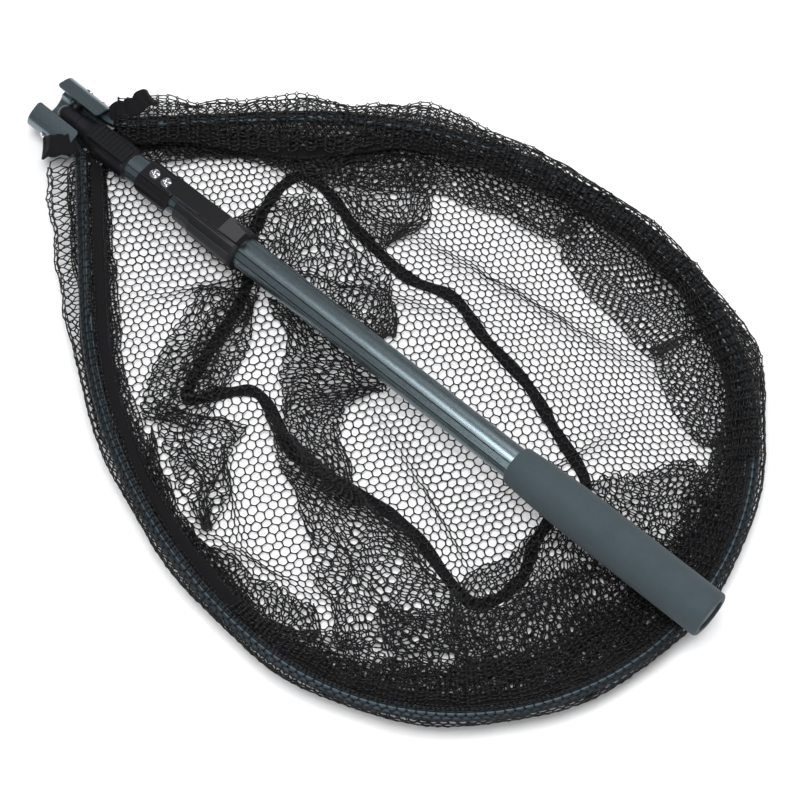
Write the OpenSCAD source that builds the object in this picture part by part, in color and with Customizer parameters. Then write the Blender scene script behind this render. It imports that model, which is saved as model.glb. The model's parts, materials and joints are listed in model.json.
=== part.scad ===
// Folding landing net with a telescopic handle, folded for carrying.
// The hinge of the head is the reference: +X runs from it towards the grip, +Z is up.
// The hoop lies level, and the handle lies over it and rests on its far end.

/* [Hoop] */
// Distance from the hinge pin to the far end of the hoop, to the middle of its profile
hoop_len = 684; // [650:1:700]
// Width of the hoop between the middles of its two sides
hoop_w = 484; // [450:1:510]
// Angle at which each arm opens away from the handle
arm_angle = 44; // [42:0.5:46]
// Width of the hoop profile
profile_w = 11; // [9.5:0.5:11.5]
// Height of the hoop profile
profile_h = 8; // [7:0.5:8.5]
// Radius of the groove along the top and the bottom of the hoop profile
profile_groove_r = 1.4; // [0.8:0.1:1.8]
// Radius of the bend where each arm leaves the bracket
bend_r = 20; // [16:1:24]
// Straight length of arm between the bracket and its bend
arm_lead = 1.8; // [1:0.1:4]
// Length of each arm behind the hinge pin
arm_tail = 12; // [10:0.5:16]

/* [Head bracket] */
// Width of the bracket
bracket_w = 57; // [55:0.5:60]
// Height of the bracket
bracket_h = 31; // [30.5:0.5:34]
// Radius of the bracket's rounded sides
bracket_side_r = 11.5; // [9:0.5:13]
// Wall of the bracket's two wings
bracket_wall = 2; // [1.5:0.1:2.5]
// Reach of the bracket behind the hinge pin
bracket_back = 20; // [18:0.5:24]
// Reach of the bracket in front of the hinge pin
bracket_front = 27; // [25:0.5:29]
// Diameter of the round channel that takes the nose of the slider
channel_d = 27.8; // [27.6:0.1:28.4]
// Width of the slot that the handle swings through
slot_w = 21.6; // [21.4:0.1:22.4]
// Corner radius at the ends of the two wings
wing_corner_r = 3; // [1:0.5:5]

/* [Hinge] */
// Height of the hinge pin above the ground
hinge_z = 22; // [21.5:0.5:28]
// Diameter of the hinge pin
pin_d = 6; // [5:0.5:7]
// Diameter of the hinge pin's heads
pin_head_d = 9; // [8:0.5:11]
// Height of the hinge pin's heads
pin_head_h = 1.4; // [1:0.1:2]
// Diameter of the spacers on the hinge pin
spacer_d = 11; // [9:0.5:12]
// Diameter of the rivets that hold the arms
rivet_d = 4; // [3:0.5:5]
// Distance of the arm rivets in front of the hinge pin
rivet_x = 17; // [14:0.5:20]
// Width of the tongue across its flats
tongue_w = 15; // [13:0.5:16]
// Diameter of the tongue and of its round end
tongue_d = 17; // [15:0.5:18]
// Distance from the hinge pin to the guide
guide_start = 16.5; // [15:0.5:19]
// Diameter of the guide that the slider runs on
guide_d = 18.8; // [18.6:0.1:19.4]
// Length of the key on top of the tongue
tongue_key_len = 7.6; // [5:0.2:8]
// Width of the key on top of the tongue
tongue_key_w = 8.4; // [6:0.2:9]
// Height of the key above the tongue
tongue_key_h = 0.5; // [0.2:0.1:0.6]
// Gap between the key on the tongue and the guide
tongue_key_gap = 0.6; // [0.4:0.1:1]

/* [Lock slider] */
// Distance from the hinge pin to the front of the slider's body when it is unlocked
slider_start = 34.2; // [33:0.1:36]
// Length of the slider's body
slider_len = 45.7; // [42:0.1:48]
// Diameter of the slider's body at its front
slider_nose_d = 26.4; // [25.6:0.1:26.8]
// Diameter of the slider at the tip of its nose
slider_tip_d = 20.4; // [20.2:0.1:20.8]
// Length of the slider's nose and shoulder, which enter the bracket when the handle is open
nose_len = 8; // [7:0.5:8.5]
// Length of the shoulder behind the nose, which locks under the edges of the bracket's slot
shoulder_len = 2.8; // [2:0.1:3]
// Diameter of the slider at its rear
slider_rear_d = 30; // [29.4:0.1:31]
// Travel of the slider to its locked place
lock_travel = 13.6; // [10:0.1:13.7]
// Width of the thumb pad
pad_w = 17.4; // [15:0.2:18.6]
// Height of the thumb pad
pad_h = 2.2; // [1.8:0.1:2.6]
// Distance of the thumb pad from each end of the slider's body
pad_inset = 2; // [1.5:0.1:3]
// Width of the thumb pad's rim
pad_rim_w = 1.3; // [1:0.1:1.6]
// Thickness of the thumb pad's floor
pad_floor_t = 0.9; // [0.7:0.1:1.2]
// Number of ribs across the thumb pad
pad_ribs = 9; // [5:1:11]
// Width of the slider's key
key_w = 4; // [3:0.5:5]
// Length of the slider's key
key_len = 9; // [6:0.5:10]
// Distance of the slider's key behind the front of its body
key_inset = 6; // [5:0.5:8]
// Depth of the groove for the key
key_depth = 1.8; // [1.2:0.1:2.2]

/* [Inner tube] */
// Diameter of the inner tube
inner_d = 25; // [24.6:0.1:25.1]
// Wall of the inner tube
inner_wall = 1.4; // [1.2:0.1:1.6]
// Distance from the hinge pin to the front end of the inner tube
inner_start = 52.5; // [50:0.5:56]
// Distance from the hinge pin to the end of the plug inside the tube
plug_end = 134; // [128:1:150]
// Free length between the bush on the inner tube and the plug in the butt
tail_gap = 40; // [20:1:70]
// Length of the bush's seat inside the inner tube
bush_seat = 16; // [12:1:20]
// Thickness of the bush's collar
bush_collar = 5; // [4:0.5:8]

/* [Belt clip] */
// Distance from the hinge pin to the saddle of the clip
saddle_start = 95.4; // [94:0.2:98]
// Length of the saddle
saddle_len = 37; // [35:0.5:38]
// Wall of the saddle
saddle_wall = 3.5; // [3.3:0.1:4]
// Width of the clip
clip_w = 15.6; // [14:0.1:16.4]
// Width of the clip at its toe
clip_toe_w = 11; // [9:0.5:14]
// Thickness of the clip's foot
clip_foot = 2; // [1.5:0.1:2.5]
// Thickness of the clip's arm
clip_t = 3.4; // [2.6:0.1:3.6]
// Distance from the middle of the tube to the top of the clip's arm
clip_top = 26; // [25.6:0.1:28]
// Distance from the hinge pin to the bend of the clip's arm
clip_bend = 188; // [180:1:192]
// Distance from the hinge pin to the end of the clip
clip_end = 213; // [211:1:216]
// Turn of the clip round the tube, away from straight up
clip_roll = 2; // [0:0.5:40]
// Diameter of the clip screws
screw_d = 4; // [3:0.5:5]
// Diameter of the clip screws' heads
screw_head_d = 9; // [7:0.5:9.5]
// Height of the clip screws' heads
screw_head_h = 2.4; // [1.8:0.1:3]
// Distance between the clip screws
screw_pitch = 13.1; // [12:0.1:14]
// Distance from the middle of the tube to the tips of the clip screws
screw_tip = 5; // [4:0.5:7]
// Width of the slots of each cross recess
screw_slot_w = 1; // [0.8:0.1:1.4]
// Radius of the saddle's lower corners
saddle_corner_r = 7; // [4:0.5:9]
// Length of the bent toe of the clip
clip_toe = 7; // [5:0.5:9]

/* [Twist lock] */
// Distance from the hinge pin to the front of the collar
collar_start = 138.7; // [138:0.1:142]
// Length of the collar with its rim ring
collar_len = 70.5; // [68:0.5:72]
// Diameter of the smooth front ring of the collar
ring_d = 30; // [29.8:0.1:31]
// Length of the smooth front ring of the collar
ring_len = 18; // [14:0.5:20]
// Length of the collar in front of the clamping fingers
collar_lip = 4; // [3:0.5:6]
// Diameter of the collar at its rear
collar_d = 35; // [34.6:0.1:35.4]
// Height of the ribs on the collar
rib_h = 0.5; // [0.3:0.1:0.6]
// Groups of ribs round the collar
rib_groups = 7; // [5:1:8]
// Ribs in each group
rib_count = 5; // [3:1:6]
// Width of each rib
rib_w = 0.9; // [0.7:0.1:1.2]
// Share of the collar's round that the ribs cover
rib_cover = 0.62; // [0.4:0.02:0.8]
// Length of the rim ring at the rear of the collar
rim_len = 4; // [3:0.5:6]
// Wall of the clamping fingers
finger_wall = 1.1; // [0.9:0.1:1.2]
// Length of the clamping fingers
finger_len = 24; // [20:1:26]
// Width of the slits between the clamping fingers
finger_slit = 1.2; // [0.8:0.1:1.6]
// Distance from the end of the ferrule to the collar's rim ring
ferrule_inset = 3; // [2:0.5:5]
// Wall of the ferrule over the outer tube
ferrule_wall = 1.1; // [1:0.1:1.2]

/* [Outer tube and grip] */
// Distance from the hinge pin to the butt of the handle
handle_len = 702; // [690:1:720]
// Diameter of the outer tube
outer_d = 28; // [27.9:0.1:28.2]
// Wall of the outer tube
outer_wall = 1.2; // [1.1:0.05:1.2]
// Width of the groove along both tubes
groove_w = 6.6; // [4:0.2:8]
// Depth of the groove along both tubes
groove_depth = 0.5; // [0.3:0.05:0.6]
// Turn of the groove round the tube, away from straight up
groove_roll = 41; // [30:1:60]
// Length of the grip
grip_len = 197; // [180:1:210]
// Diameter of the grip at its front
grip_front_d = 34; // [32:0.5:36]
// Diameter of the grip
grip_d = 40.5; // [38:0.5:42]
// Length over which the grip grows to its full diameter
grip_flare = 80; // [60:1:100]
// Radius of the grip's end edges
grip_edge_r = 3; // [2:0.5:4]
// Depth of the butt plug inside the mouth of the grip
butt_recess = 2; // [1:0.5:3]
// Length of the butt plug inside the tube
butt_seat = 18; // [12:1:24]

/* [Net] */
// Width of the mesh sleeve round the hoop
sleeve_w = 17; // [15:0.5:18]
// Height of the mesh sleeve round the hoop
sleeve_h = 13; // [11.5:0.5:14]
// Distance from the start of each arm's bend to the cuff
cuff_lead = 6; // [5:0.5:8]
// Length of the cuff at the end of each arm
cuff_len = 42; // [34:1:50]
// Width of each cuff
cuff_w = 21; // [19:0.5:22]
// Height of each cuff
cuff_h = 15; // [13:0.5:17]
// Width of the hem tape inside the hoop
hem_w = 9.5; // [8:0.5:12]
// Thickness of the hem tape
hem_t = 1.6; // [1:0.1:2]
// Thickness of the netting that lies on the ground
base_t = 2; // [1.6:0.1:3]
// Reach of the netting on the ground outside the hoop
base_spread = 13; // [8:1:16]
// Width of the closed edge of the netting on the ground
base_edge = 30; // [24:1:40]
// Distance between the openings in the netting on the ground
base_pitch = 58; // [56:1:64]
// Width of the bars between these openings
base_bar = 9; // [6:0.5:14]
// Thickness of the netting that stands under the hoop
side_t = 8; // [5:0.5:10]
// Distance of the bottom seam inside the hoop
seam_inset = 138; // [120:1:150]
// Half the width of the bottom seam's blunt rear end
seam_rear = 20; // [10:1:30]
// Width of the seam tape
seam_w = 9; // [7:0.5:11]
// Thickness of the seam tape
seam_t = 1.4; // [1:0.1:2]

/* [Fits] */
// Clearance between pieces that are fixed together
seat_gap = 0.05; // [0.02:0.01:0.08]
// Clearance of a shaft in its bore
run_gap = 0.1; // [0.05:0.01:0.1]
// Clearance between pieces that move past each other
free_gap = 0.3; // [0.25:0.05:0.4]
// Height of the grip above the hoop when the handle is folded
rest_gap = 0.4; // [0.3:0.1:0.8]

/* [Hidden] */
$fn = 64;
eps = 0.01;
bend_steps = 5;
side_steps = 12;
far_steps = 24;

// Lift of the folded handle, so that the grip rests on the far end of the hoop
tilt = asin((sleeve_h / 2 + grip_d / 2 + rest_gap) / hoop_len);
butt_reach = handle_len * cos(tilt) + (grip_d / 2 - grip_edge_r) * sin(tilt);
x_mid = (butt_reach - bracket_back) / 2;

// Hoop path: a straight arm, a bend, a straight, a long side curve and a round far end
far_r = hoop_w / 2;
far_x = hoop_len - far_r;
arm_y = bracket_w / 2 - bracket_wall - profile_w / 2 - free_gap;
bend_reach = bend_r * tan(arm_angle / 2);
bend_x = bracket_front + arm_lead + bend_reach;
side_r = ((far_x - bend_x) * sin(arm_angle) - (far_r - arm_y) * cos(arm_angle)) / (1 - cos(arm_angle));
side_start = [far_x - side_r * sin(arm_angle), far_r - side_r * (1 - cos(arm_angle))];
arm_len = (side_start.x - bend_x) / cos(arm_angle) - bend_reach;

// Bracket section: two round sides joined by flatter arcs
side_x = bracket_w / 2 - bracket_side_r;
arc_rise = bracket_h / 2 - bracket_side_r;
arc_drop = (side_x * side_x - arc_rise * arc_rise) / (2 * arc_rise);
arc_r = arc_drop + bracket_h / 2;

inner_bore = inner_d - 2 * inner_wall;
outer_bore = outer_d - 2 * outer_wall;
inner_end = handle_len - butt_recess - butt_seat - tail_gap - bush_collar;
slider_step = inner_start - free_gap;
pad_seat = slider_nose_d / 2 + 0.4;
key_start = slider_start + key_inset;
saddle_r = inner_d / 2 + saddle_wall;
saddle_top = sqrt(saddle_r * saddle_r - clip_w * clip_w / 4);
screw_x = [for (side = [-1, 1]) saddle_start + saddle_len / 2 + side * screw_pitch / 2];
finger_start = collar_start + collar_lip;
tube_mouth = finger_start + finger_len;
collar_end = collar_start + collar_len;
ferrule_d = outer_d + 2 * seat_gap + 2 * ferrule_wall;
ferrule_end = collar_end - rim_len - ferrule_inset;
grip_start = handle_len - grip_len;
cuff_start = cuff_lead - bend_reach;
sleeve_start = cuff_start + cuff_len + free_gap;
hem_in = sleeve_w / 2 + free_gap;
side_top = -sleeve_h / 2 - free_gap;

// ---- frames ----

module head_frame() {
    translate([-x_mid, 0, hinge_z]) children();
}

module handle_frame() {
    head_frame() rotate([0, -tilt, 0]) children();
}

module clip_frame() {
    handle_frame() rotate([-clip_roll, 0, 0]) children();
}

// ---- shared shapes ----

// A round bar along +X
module bar(from, to, d) {
    translate([from, 0, 0]) rotate([0, 90, 0]) cylinder(h = to - from, d = d);
}

// A tube along +X
module pipe(from, to, d, bore) {
    difference() {
        bar(from, to, d);
        bar(from - 1, to + 1, bore);
    }
}

// A body turned about the X axis from points of [x, radius]
module turned(points) {
    rotate([0, 90, 0]) rotate_extrude() polygon([for (p = points) [p[1], p[0]]]);
}

// A bar across the handle, along Y
module cross_bar(x, from, to, d) {
    translate([x, from, 0]) rotate([-90, 0, 0]) cylinder(h = to - from, d = d);
}

// Both sides of the head
module both_sides() {
    children();
    mirror([0, 1, 0]) children();
}

module rounded_rect(length, width, r) {
    square([length - 2 * r, width], center = true);
    square([length, width - 2 * r], center = true);
    for (sx = [-1, 1], sy = [-1, 1])
        translate([sx * (length / 2 - r), sy * (width / 2 - r)]) circle(r = r);
}

// A flat oval with round ends
module stadium(width, height) {
    square([width - height, height], center = true);
    for (side = [-1, 1]) translate([side * (width - height) / 2, 0]) circle(d = height);
}

// Section of the hoop: a flat oval with a round groove along its top and its bottom
function hoop_half_section() = let (r = profile_h / 2, flat = profile_w / 2 - r) concat(
    [for (a = [-90:45:90]) [flat + r * cos(a), r * sin(a)]],
    [for (a = [0:60:180]) [profile_groove_r * cos(a), r - profile_groove_r * sin(a)]]);
hoop_section = concat(hoop_half_section(), [for (q = hoop_half_section()) -q]);

// Carries a section along one straight of the hoop: x of the section points outwards
module along(from, angle, length) {
    translate([from.x, from.y, 0]) rotate([0, 0, 90 + angle]) rotate([90, 0, 0])
        linear_extrude(height = length) children();
}

// Carries a section round the curved part of one side of the hoop
module curves() {
    translate([far_x, 0, 0]) rotate_extrude(angle = 90) translate([far_r, 0]) children();
    translate([far_x, far_r - side_r, 0]) rotate([0, 0, 90])
        rotate_extrude(angle = arm_angle) translate([side_r, 0]) children();
}

// Carries a section from a point on the arm, round the hoop and back
module round_hoop(from) {
    both_sides() {
        curves() children();
        along(arm_point(from), arm_angle, arm_len - from) children();
    }
}

// A point on the straight of the arm, measured from the end of its bend
function arm_point(s) = let (reach = bend_reach + s)
    [bend_x + reach * cos(arm_angle), arm_y + reach * sin(arm_angle)];

// Middle of the hoop from the tail of one arm to the far end, as [x, y, direction outwards]
tail_path = concat([[-arm_tail, arm_y, 90]],
    [for (i = [0:bend_steps]) let (t = arm_angle * i / bend_steps)
        [bend_x - bend_reach + bend_r * sin(t), arm_y + bend_r * (1 - cos(t)), 90 + t]]);
bow_path = concat(
    [for (i = [0:side_steps]) let (a = 90 + arm_angle * (side_steps - i) / side_steps)
        [far_x + side_r * cos(a), far_r - side_r + side_r * sin(a), a]],
    [for (i = [1:far_steps]) let (a = 90 - 90 * i / far_steps) [far_x + far_r * cos(a), far_r * sin(a), a]]);
function reversed(points) = [for (i = [len(points) - 1:-1:0]) points[i]];
function flipped(path) = [for (p = reversed(path)) [p.x, -p.y, -p.z]];
function whole(path) = concat(path, flipped([for (i = [0:len(path) - 2]) path[i]]));

// A path moved outwards, as plain points
function moved(path, out) = [for (p = path) [p.x + out * cos(p.z), p.y + out * sin(p.z)]];

// The bow with a stretch of each arm, from s along the arm
function arm_path(s) = whole(concat([concat(arm_point(s), [90 + arm_angle])], bow_path));

// A flat band along the hoop, between two distances outwards
module band(s, out, inner) {
    polygon(concat(moved(arm_path(s), out), reversed(moved(arm_path(s), inner))));
}

// The ground plan of the hoop moved outwards, cut off square where it is rear_y from the middle
module net_outline(out, rear_y) {
    half = [for (p = moved(bow_path, out)) if (p.x > far_x || p.y > rear_y) p];
    run = (half[0].y - rear_y) / sin(arm_angle);
    right = concat([half[0] - run * [cos(arm_angle), sin(arm_angle)]], half);
    polygon(concat(right, [for (i = [len(right) - 2:-1:0]) [right[i].x, -right[i].y]]));
}

// A solid of the given section, as points of [outwards, up] round its middle, swept along a path
module swept(path, section) {
    n = len(section);
    last = len(path) - 1;
    rings = [for (p = path, q = section) [p.x + q.x * cos(p.z), p.y + q.x * sin(p.z), q.y]];
    middles = [for (p = [path[0], path[last]]) [p.x, p.y, 0]];
    sides = [for (i = [0:last - 1], j = [0:n - 1]) let (a = i * n + j, b = i * n + (j + 1) % n)
        each [[a, a + n, b + n], [a, b + n, b]]];
    ends = [for (j = [0:n - 1]) let (k = (j + 1) % n, far = last * n, middle = len(rings))
        each [[middle, j, k], [middle + 1, far + k, far + j]]];
    polyhedron(concat(rings, middles), concat(sides, ends));
}

// ---- head ----

module bracket_section(grow) {
    reach = (arc_r + grow) * side_x / sqrt(side_x * side_x + arc_drop * arc_drop);
    for (side = [-1, 1]) translate([side * side_x, 0]) circle(r = bracket_side_r + grow);
    intersection() {
        translate([0, -arc_drop]) circle(r = arc_r + grow, $fn = 128);
        translate([0, arc_drop]) circle(r = arc_r + grow, $fn = 128);
        square([2 * reach, bracket_h + 2 * grow + 2], center = true);
    }
}

module bracket_hollow() {
    circle(d = channel_d);
    translate([-slot_w / 2, 0]) square([slot_w, bracket_h]);
    intersection() {
        bracket_section(-bracket_wall);
        translate([-bracket_w / 2, -profile_h / 2 - free_gap]) square([bracket_w, bracket_h]);
    }
}

module head_bracket() {
    length = bracket_front + bracket_back;
    color("slategray") head_frame() difference() {
        translate([-bracket_back, 0, 0]) rotate([90, 0, 90]) linear_extrude(height = length) difference() {
            bracket_section(0);
            bracket_hollow();
        }
        wing_corners();
        cross_bar(0, -bracket_w, bracket_w, pin_d + 2 * seat_gap);
        cross_bar(rivet_x, -bracket_w, bracket_w, rivet_d + 2 * seat_gap);
    }
}

// Rounds the corner of each wing beside the slot, at both ends
module wing_corners() {
    both_sides() for (end = [0, 1])
        translate([end == 0 ? -bracket_back : bracket_front, slot_w / 2, 0]) mirror([end, 0, 0])
            difference() {
                translate([-1, -1, channel_d / 4]) cube([wing_corner_r + 1, wing_corner_r + 1, bracket_h]);
                translate([wing_corner_r, wing_corner_r, 0]) cylinder(r = wing_corner_r, h = bracket_h * 2);
            }
}

module hinge_pin() {
    color("silver") head_frame() {
        cross_bar(0, -bracket_w / 2, bracket_w / 2, pin_d);
        both_sides() translate([0, bracket_w / 2, 0]) rotate([-90, 0, 0])
            cylinder(h = pin_head_h, d1 = pin_head_d, d2 = pin_head_d - 3);
    }
}

module hinge_spacers() {
    spacer_end = sqrt(channel_d * channel_d - spacer_d * spacer_d) / 2 - free_gap;
    color("dimgray") head_frame() both_sides() difference() {
        cross_bar(0, tongue_w / 2 + free_gap, spacer_end, spacer_d);
        cross_bar(0, 0, bracket_w, pin_d + 2 * seat_gap);
    }
}

module hoop_frame() {
    color("slategray") head_frame() difference() {
        swept(whole(concat(tail_path, bow_path)), hoop_section);
        cross_bar(0, -bracket_w, bracket_w, pin_d + 2 * seat_gap);
        cross_bar(rivet_x, -bracket_w, bracket_w, rivet_d + 2 * seat_gap);
    }
}

module arm_rivets() {
    color("silver") head_frame() both_sides() {
        cross_bar(rivet_x, arm_y - profile_w / 2, bracket_w / 2, rivet_d);
        translate([rivet_x, bracket_w / 2, 0]) rotate([-90, 0, 0])
            cylinder(h = pin_head_h * 0.8, d1 = rivet_d * 1.7, d2 = rivet_d);
    }
}

// ---- net ----

module net_sleeve() {
    color("black") head_frame() round_hoop(sleeve_start) difference() {
        stadium(sleeve_w, sleeve_h);
        stadium(profile_w + 2 * free_gap, profile_h + 2 * free_gap);
    }
}

module hem_tape() {
    color("black") head_frame() translate([0, 0, -1.5 * hem_t])
        linear_extrude(height = hem_t) band(sleeve_start, -hem_in, -hem_in - hem_w);
}

module cuff() {
    color("black") head_frame() along(arm_point(cuff_start), arm_angle, cuff_len) difference() {
        rounded_rect(cuff_w, cuff_h, cuff_h / 3);
        stadium(profile_w + 2 * free_gap, profile_h + 2 * free_gap);
    }
}

module cuff_right() {
    cuff();
}

module cuff_left() {
    mirror([0, 1, 0]) cuff();
}

module net_sides() {
    color("black") translate([-x_mid, 0, base_t + seat_gap])
        linear_extrude(height = hinge_z + side_top - base_t - seat_gap) band(sleeve_start, 0, -side_t);
}

module net_base() {
    color("black") translate([-x_mid, 0, 0]) linear_extrude(height = base_t) difference() {
        net_outline(base_spread, bracket_w / 2);
        intersection() {
            net_outline(base_spread - base_edge, 1);
            base_openings();
        }
    }
}

// A plain grid of square openings, even about the middle of the hoop
module base_openings() {
    count = ceil(hoop_len / base_pitch);
    for (i = [0:count], j = [-count / 2:count / 2])
        translate([hoop_len - (i + 0.5) * base_pitch, j * base_pitch])
            square(base_pitch - base_bar, center = true);
}

module seam_tape() {
    color("black") translate([-x_mid, 0, base_t]) linear_extrude(height = seam_t) difference() {
        net_outline(-seam_inset, seam_rear);
        net_outline(-seam_inset - seam_w, seam_rear);
    }
}

// ---- hinge end of the handle ----

module hinge_tongue() {
    groove_start = key_start - lock_travel - free_gap;
    groove_end = key_start + key_len + free_gap;
    color("dimgray") handle_frame() difference() {
        union() {
            intersection() {
                union() {
                    sphere(d = tongue_d);
                    bar(0, guide_start + 1, tongue_d);
                }
                translate([-tongue_d, -tongue_w / 2, -tongue_d])
                    cube([4 * tongue_d, tongue_w, 2 * tongue_d]);
            }
            tongue_key();
            bar(guide_start, inner_start + 1, guide_d);
            bar(inner_start - seat_gap, plug_end, inner_bore - 2 * seat_gap);
        }
        cross_bar(0, -tongue_d, tongue_d, pin_d + run_gap);
        translate([groove_start, -key_w / 2 - free_gap, -guide_d / 2 - 1])
            cube([groove_end - groove_start, key_w + 2 * free_gap, key_depth + 1]);
        rotate([-clip_roll, 0, 0]) screw_holes();
    }
}

// Square key standing on top of the tongue, next to the guide
module tongue_key() {
    key_end = guide_start - tongue_key_gap;
    intersection() {
        translate([key_end - tongue_key_len, -tongue_key_w / 2, 0])
            cube([tongue_key_len, tongue_key_w, tongue_d / 2 + tongue_key_h]);
        bar(0, guide_start, guide_d - 2 * free_gap);
    }
}

module screw_holes() {
    for (x = screw_x) translate([x, 0, screw_tip - 1]) cylinder(h = 30, d = screw_d + 2 * seat_gap);
}

// A shallow groove along a tube of diameter d
module groove(from, to, d) {
    rotate([groove_roll, 0, 0]) translate([from, -groove_w / 2, d / 2 - groove_depth])
        cube([to - from, groove_w, 3]);
}

module inner_tube() {
    color("slategray") handle_frame() difference() {
        pipe(inner_start, inner_end, inner_d, inner_bore);
        groove(inner_start - 1, inner_end + 1, inner_d);
        rotate([-clip_roll, 0, 0]) screw_holes();
    }
}

module inner_tube_bush() {
    color("black") handle_frame() difference() {
        union() {
            bar(inner_end - bush_seat, inner_end + 1, inner_bore - 2 * seat_gap);
            bar(inner_end + seat_gap, inner_end + bush_collar, outer_bore - 2 * run_gap);
        }
        bar(inner_end - bush_seat - 1, inner_end + bush_collar + 1, inner_bore - 5);
    }
}

// ---- belt clip ----

module clip_saddle() {
    color("#222226") clip_frame() difference() {
        intersection() {
            bar(saddle_start, saddle_start + saddle_len, 2 * saddle_r);
            translate([saddle_start + saddle_len / 2, saddle_r + 1, 0]) rotate([90, 0, 0])
                linear_extrude(height = 2 * saddle_r + 2) saddle_side();
        }
        bar(saddle_start - 1, saddle_start + saddle_len + 1, inner_d + 2 * seat_gap);
        screw_holes();
    }
}

// Side view of the saddle: flat on top, with its lower corners rounded
module saddle_side() {
    r = saddle_corner_r;
    translate([-saddle_len / 2, r]) square([saddle_len, saddle_top - r]);
    translate([-saddle_len / 2 + r, 0]) square([saddle_len - 2 * r, saddle_top]);
    for (side = [-1, 1]) translate([side * (saddle_len / 2 - r), r]) circle(r = r);
}

module belt_clip() {
    foot = [saddle_start + 1, saddle_start + saddle_len - 1];
    heel = foot[1] - clip_t;
    low = clip_top - clip_t;
    drop = clip_top - clip_t - collar_d / 2 - rib_h - 2 * free_gap;
    toe = clip_end - clip_toe;
    color("#1c1c20") clip_frame() difference() {
        intersection() {
            clip_plan();
            translate([0, clip_w / 2, 0]) rotate([90, 0, 0]) linear_extrude(height = clip_w) polygon([
                [foot[0], saddle_top], [foot[1], saddle_top], [foot[1] + 1, saddle_top + clip_t],
                [foot[1] + 2, low], [clip_bend, low], [toe, low - drop], [clip_end, low - drop + 2.5],
                [clip_end, low - drop + 5], [toe + 1, clip_top - drop], [clip_bend + 1, clip_top],
                [heel + 2, clip_top], [heel, clip_top - 2], [heel - 1, saddle_top + clip_foot],
                [foot[0], saddle_top + clip_foot]]);
        }
        screw_holes();
    }
}

// Plan of the clip: straight sides that draw in towards its toe
module clip_plan() {
    linear_extrude(height = clip_top) polygon([
        [saddle_start, -clip_w / 2], [clip_bend, -clip_w / 2], [clip_end, -clip_toe_w / 2],
        [clip_end, clip_toe_w / 2], [clip_bend, clip_w / 2], [saddle_start, clip_w / 2]]);
}

module clip_screws() {
    head_z = saddle_top + clip_foot;
    color("silver") clip_frame() for (x = screw_x) translate([x, 0, 0]) difference() {
        union() {
            translate([0, 0, screw_tip]) cylinder(h = head_z - screw_tip + 0.5, d = screw_d);
            translate([0, 0, head_z]) cylinder(h = screw_head_h / 2, d = screw_head_d);
            translate([0, 0, head_z + screw_head_h / 2 - eps])
                cylinder(h = screw_head_h / 2, d1 = screw_head_d, d2 = screw_head_d * 0.6);
        }
        for (turn = [25, 115]) rotate([0, 0, turn])
            translate([-screw_head_d / 4, -screw_slot_w / 2, head_z + screw_head_h / 2])
                cube([screw_head_d / 2, screw_slot_w, screw_head_h]);
    }
}

// ---- lock slider ----

module lock_slider() {
    slider_end = slider_start + slider_len;
    tip_r = slider_tip_d / 2;
    nose_r = slider_nose_d / 2;
    rear_r = slider_rear_d / 2;
    shoulder = slider_start - shoulder_len;
    color("#2a2a2e") handle_frame() difference() {
        union() {
            turned([[slider_start - nose_len, 0], [slider_start - nose_len, tip_r], [shoulder, tip_r + 0.2],
                [shoulder + 0.2, nose_r - 0.5], [slider_start, nose_r - 0.3], [slider_start + 0.3, nose_r],
                [slider_start + slider_len * 0.2, nose_r + 0.3],
                [slider_start + slider_len * 0.6, rear_r - 0.4],
                [slider_end - 4, rear_r], [slider_end - 1.2, rear_r - 0.6], [slider_end, rear_r - 1.6],
                [slider_end, 0]]);
            translate([slider_start + 1, -pad_w / 2 - 0.4, 0]) cube([slider_len - 2, pad_w + 0.8, pad_seat]);
        }
        translate([slider_start - 1, -slider_rear_d, pad_seat])
            cube([slider_len + 2, 2 * slider_rear_d, slider_rear_d]);
        bar(slider_start - nose_len - 1, slider_step + 1, guide_d + 2 * run_gap);
        bar(slider_step, slider_end + 1, inner_d + 2 * run_gap);
    }
    color("#2a2a2e") handle_frame() slider_key();
}

// Key inside the slider, which stops it from turning and from running off the guide
module slider_key() {
    key_r = guide_d / 2 + run_gap;
    intersection() {
        pipe(key_start, key_start + key_len, slider_nose_d - 1, 2 * (key_r - key_depth + 2 * free_gap));
        translate([key_start, -key_w / 2, -key_r - 1]) cube([key_len, key_w, key_depth + 1]);
    }
}

module thumb_pad() {
    length = slider_len - 2 * pad_inset;
    pitch = (length - 2 * pad_rim_w) / pad_ribs;
    color("#1c1c20") handle_frame() translate([slider_start + slider_len / 2, 0, pad_seat + seat_gap]) {
        linear_extrude(height = pad_floor_t) rounded_rect(length, pad_w, 2);
        linear_extrude(height = pad_h) difference() {
            rounded_rect(length, pad_w, 2);
            rounded_rect(length - 2 * pad_rim_w, pad_w - 2 * pad_rim_w, 0.8);
        }
        for (i = [1:pad_ribs - 1])
            translate([-length / 2 + pad_rim_w + pitch * i - pitch / 4, -pad_w / 2 + pad_rim_w - 0.2, 0])
                cube([pitch / 2, pad_w - 2 * pad_rim_w + 0.4, pad_h - 0.3]);
    }
}

// ---- outer tube, twist lock and grip ----

module outer_tube() {
    color("slategray") handle_frame() difference() {
        pipe(tube_mouth, handle_len - butt_recess - 2, outer_d, outer_bore);
        groove(ferrule_end + 1, grip_start + grip_len, outer_d);
    }
}

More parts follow.
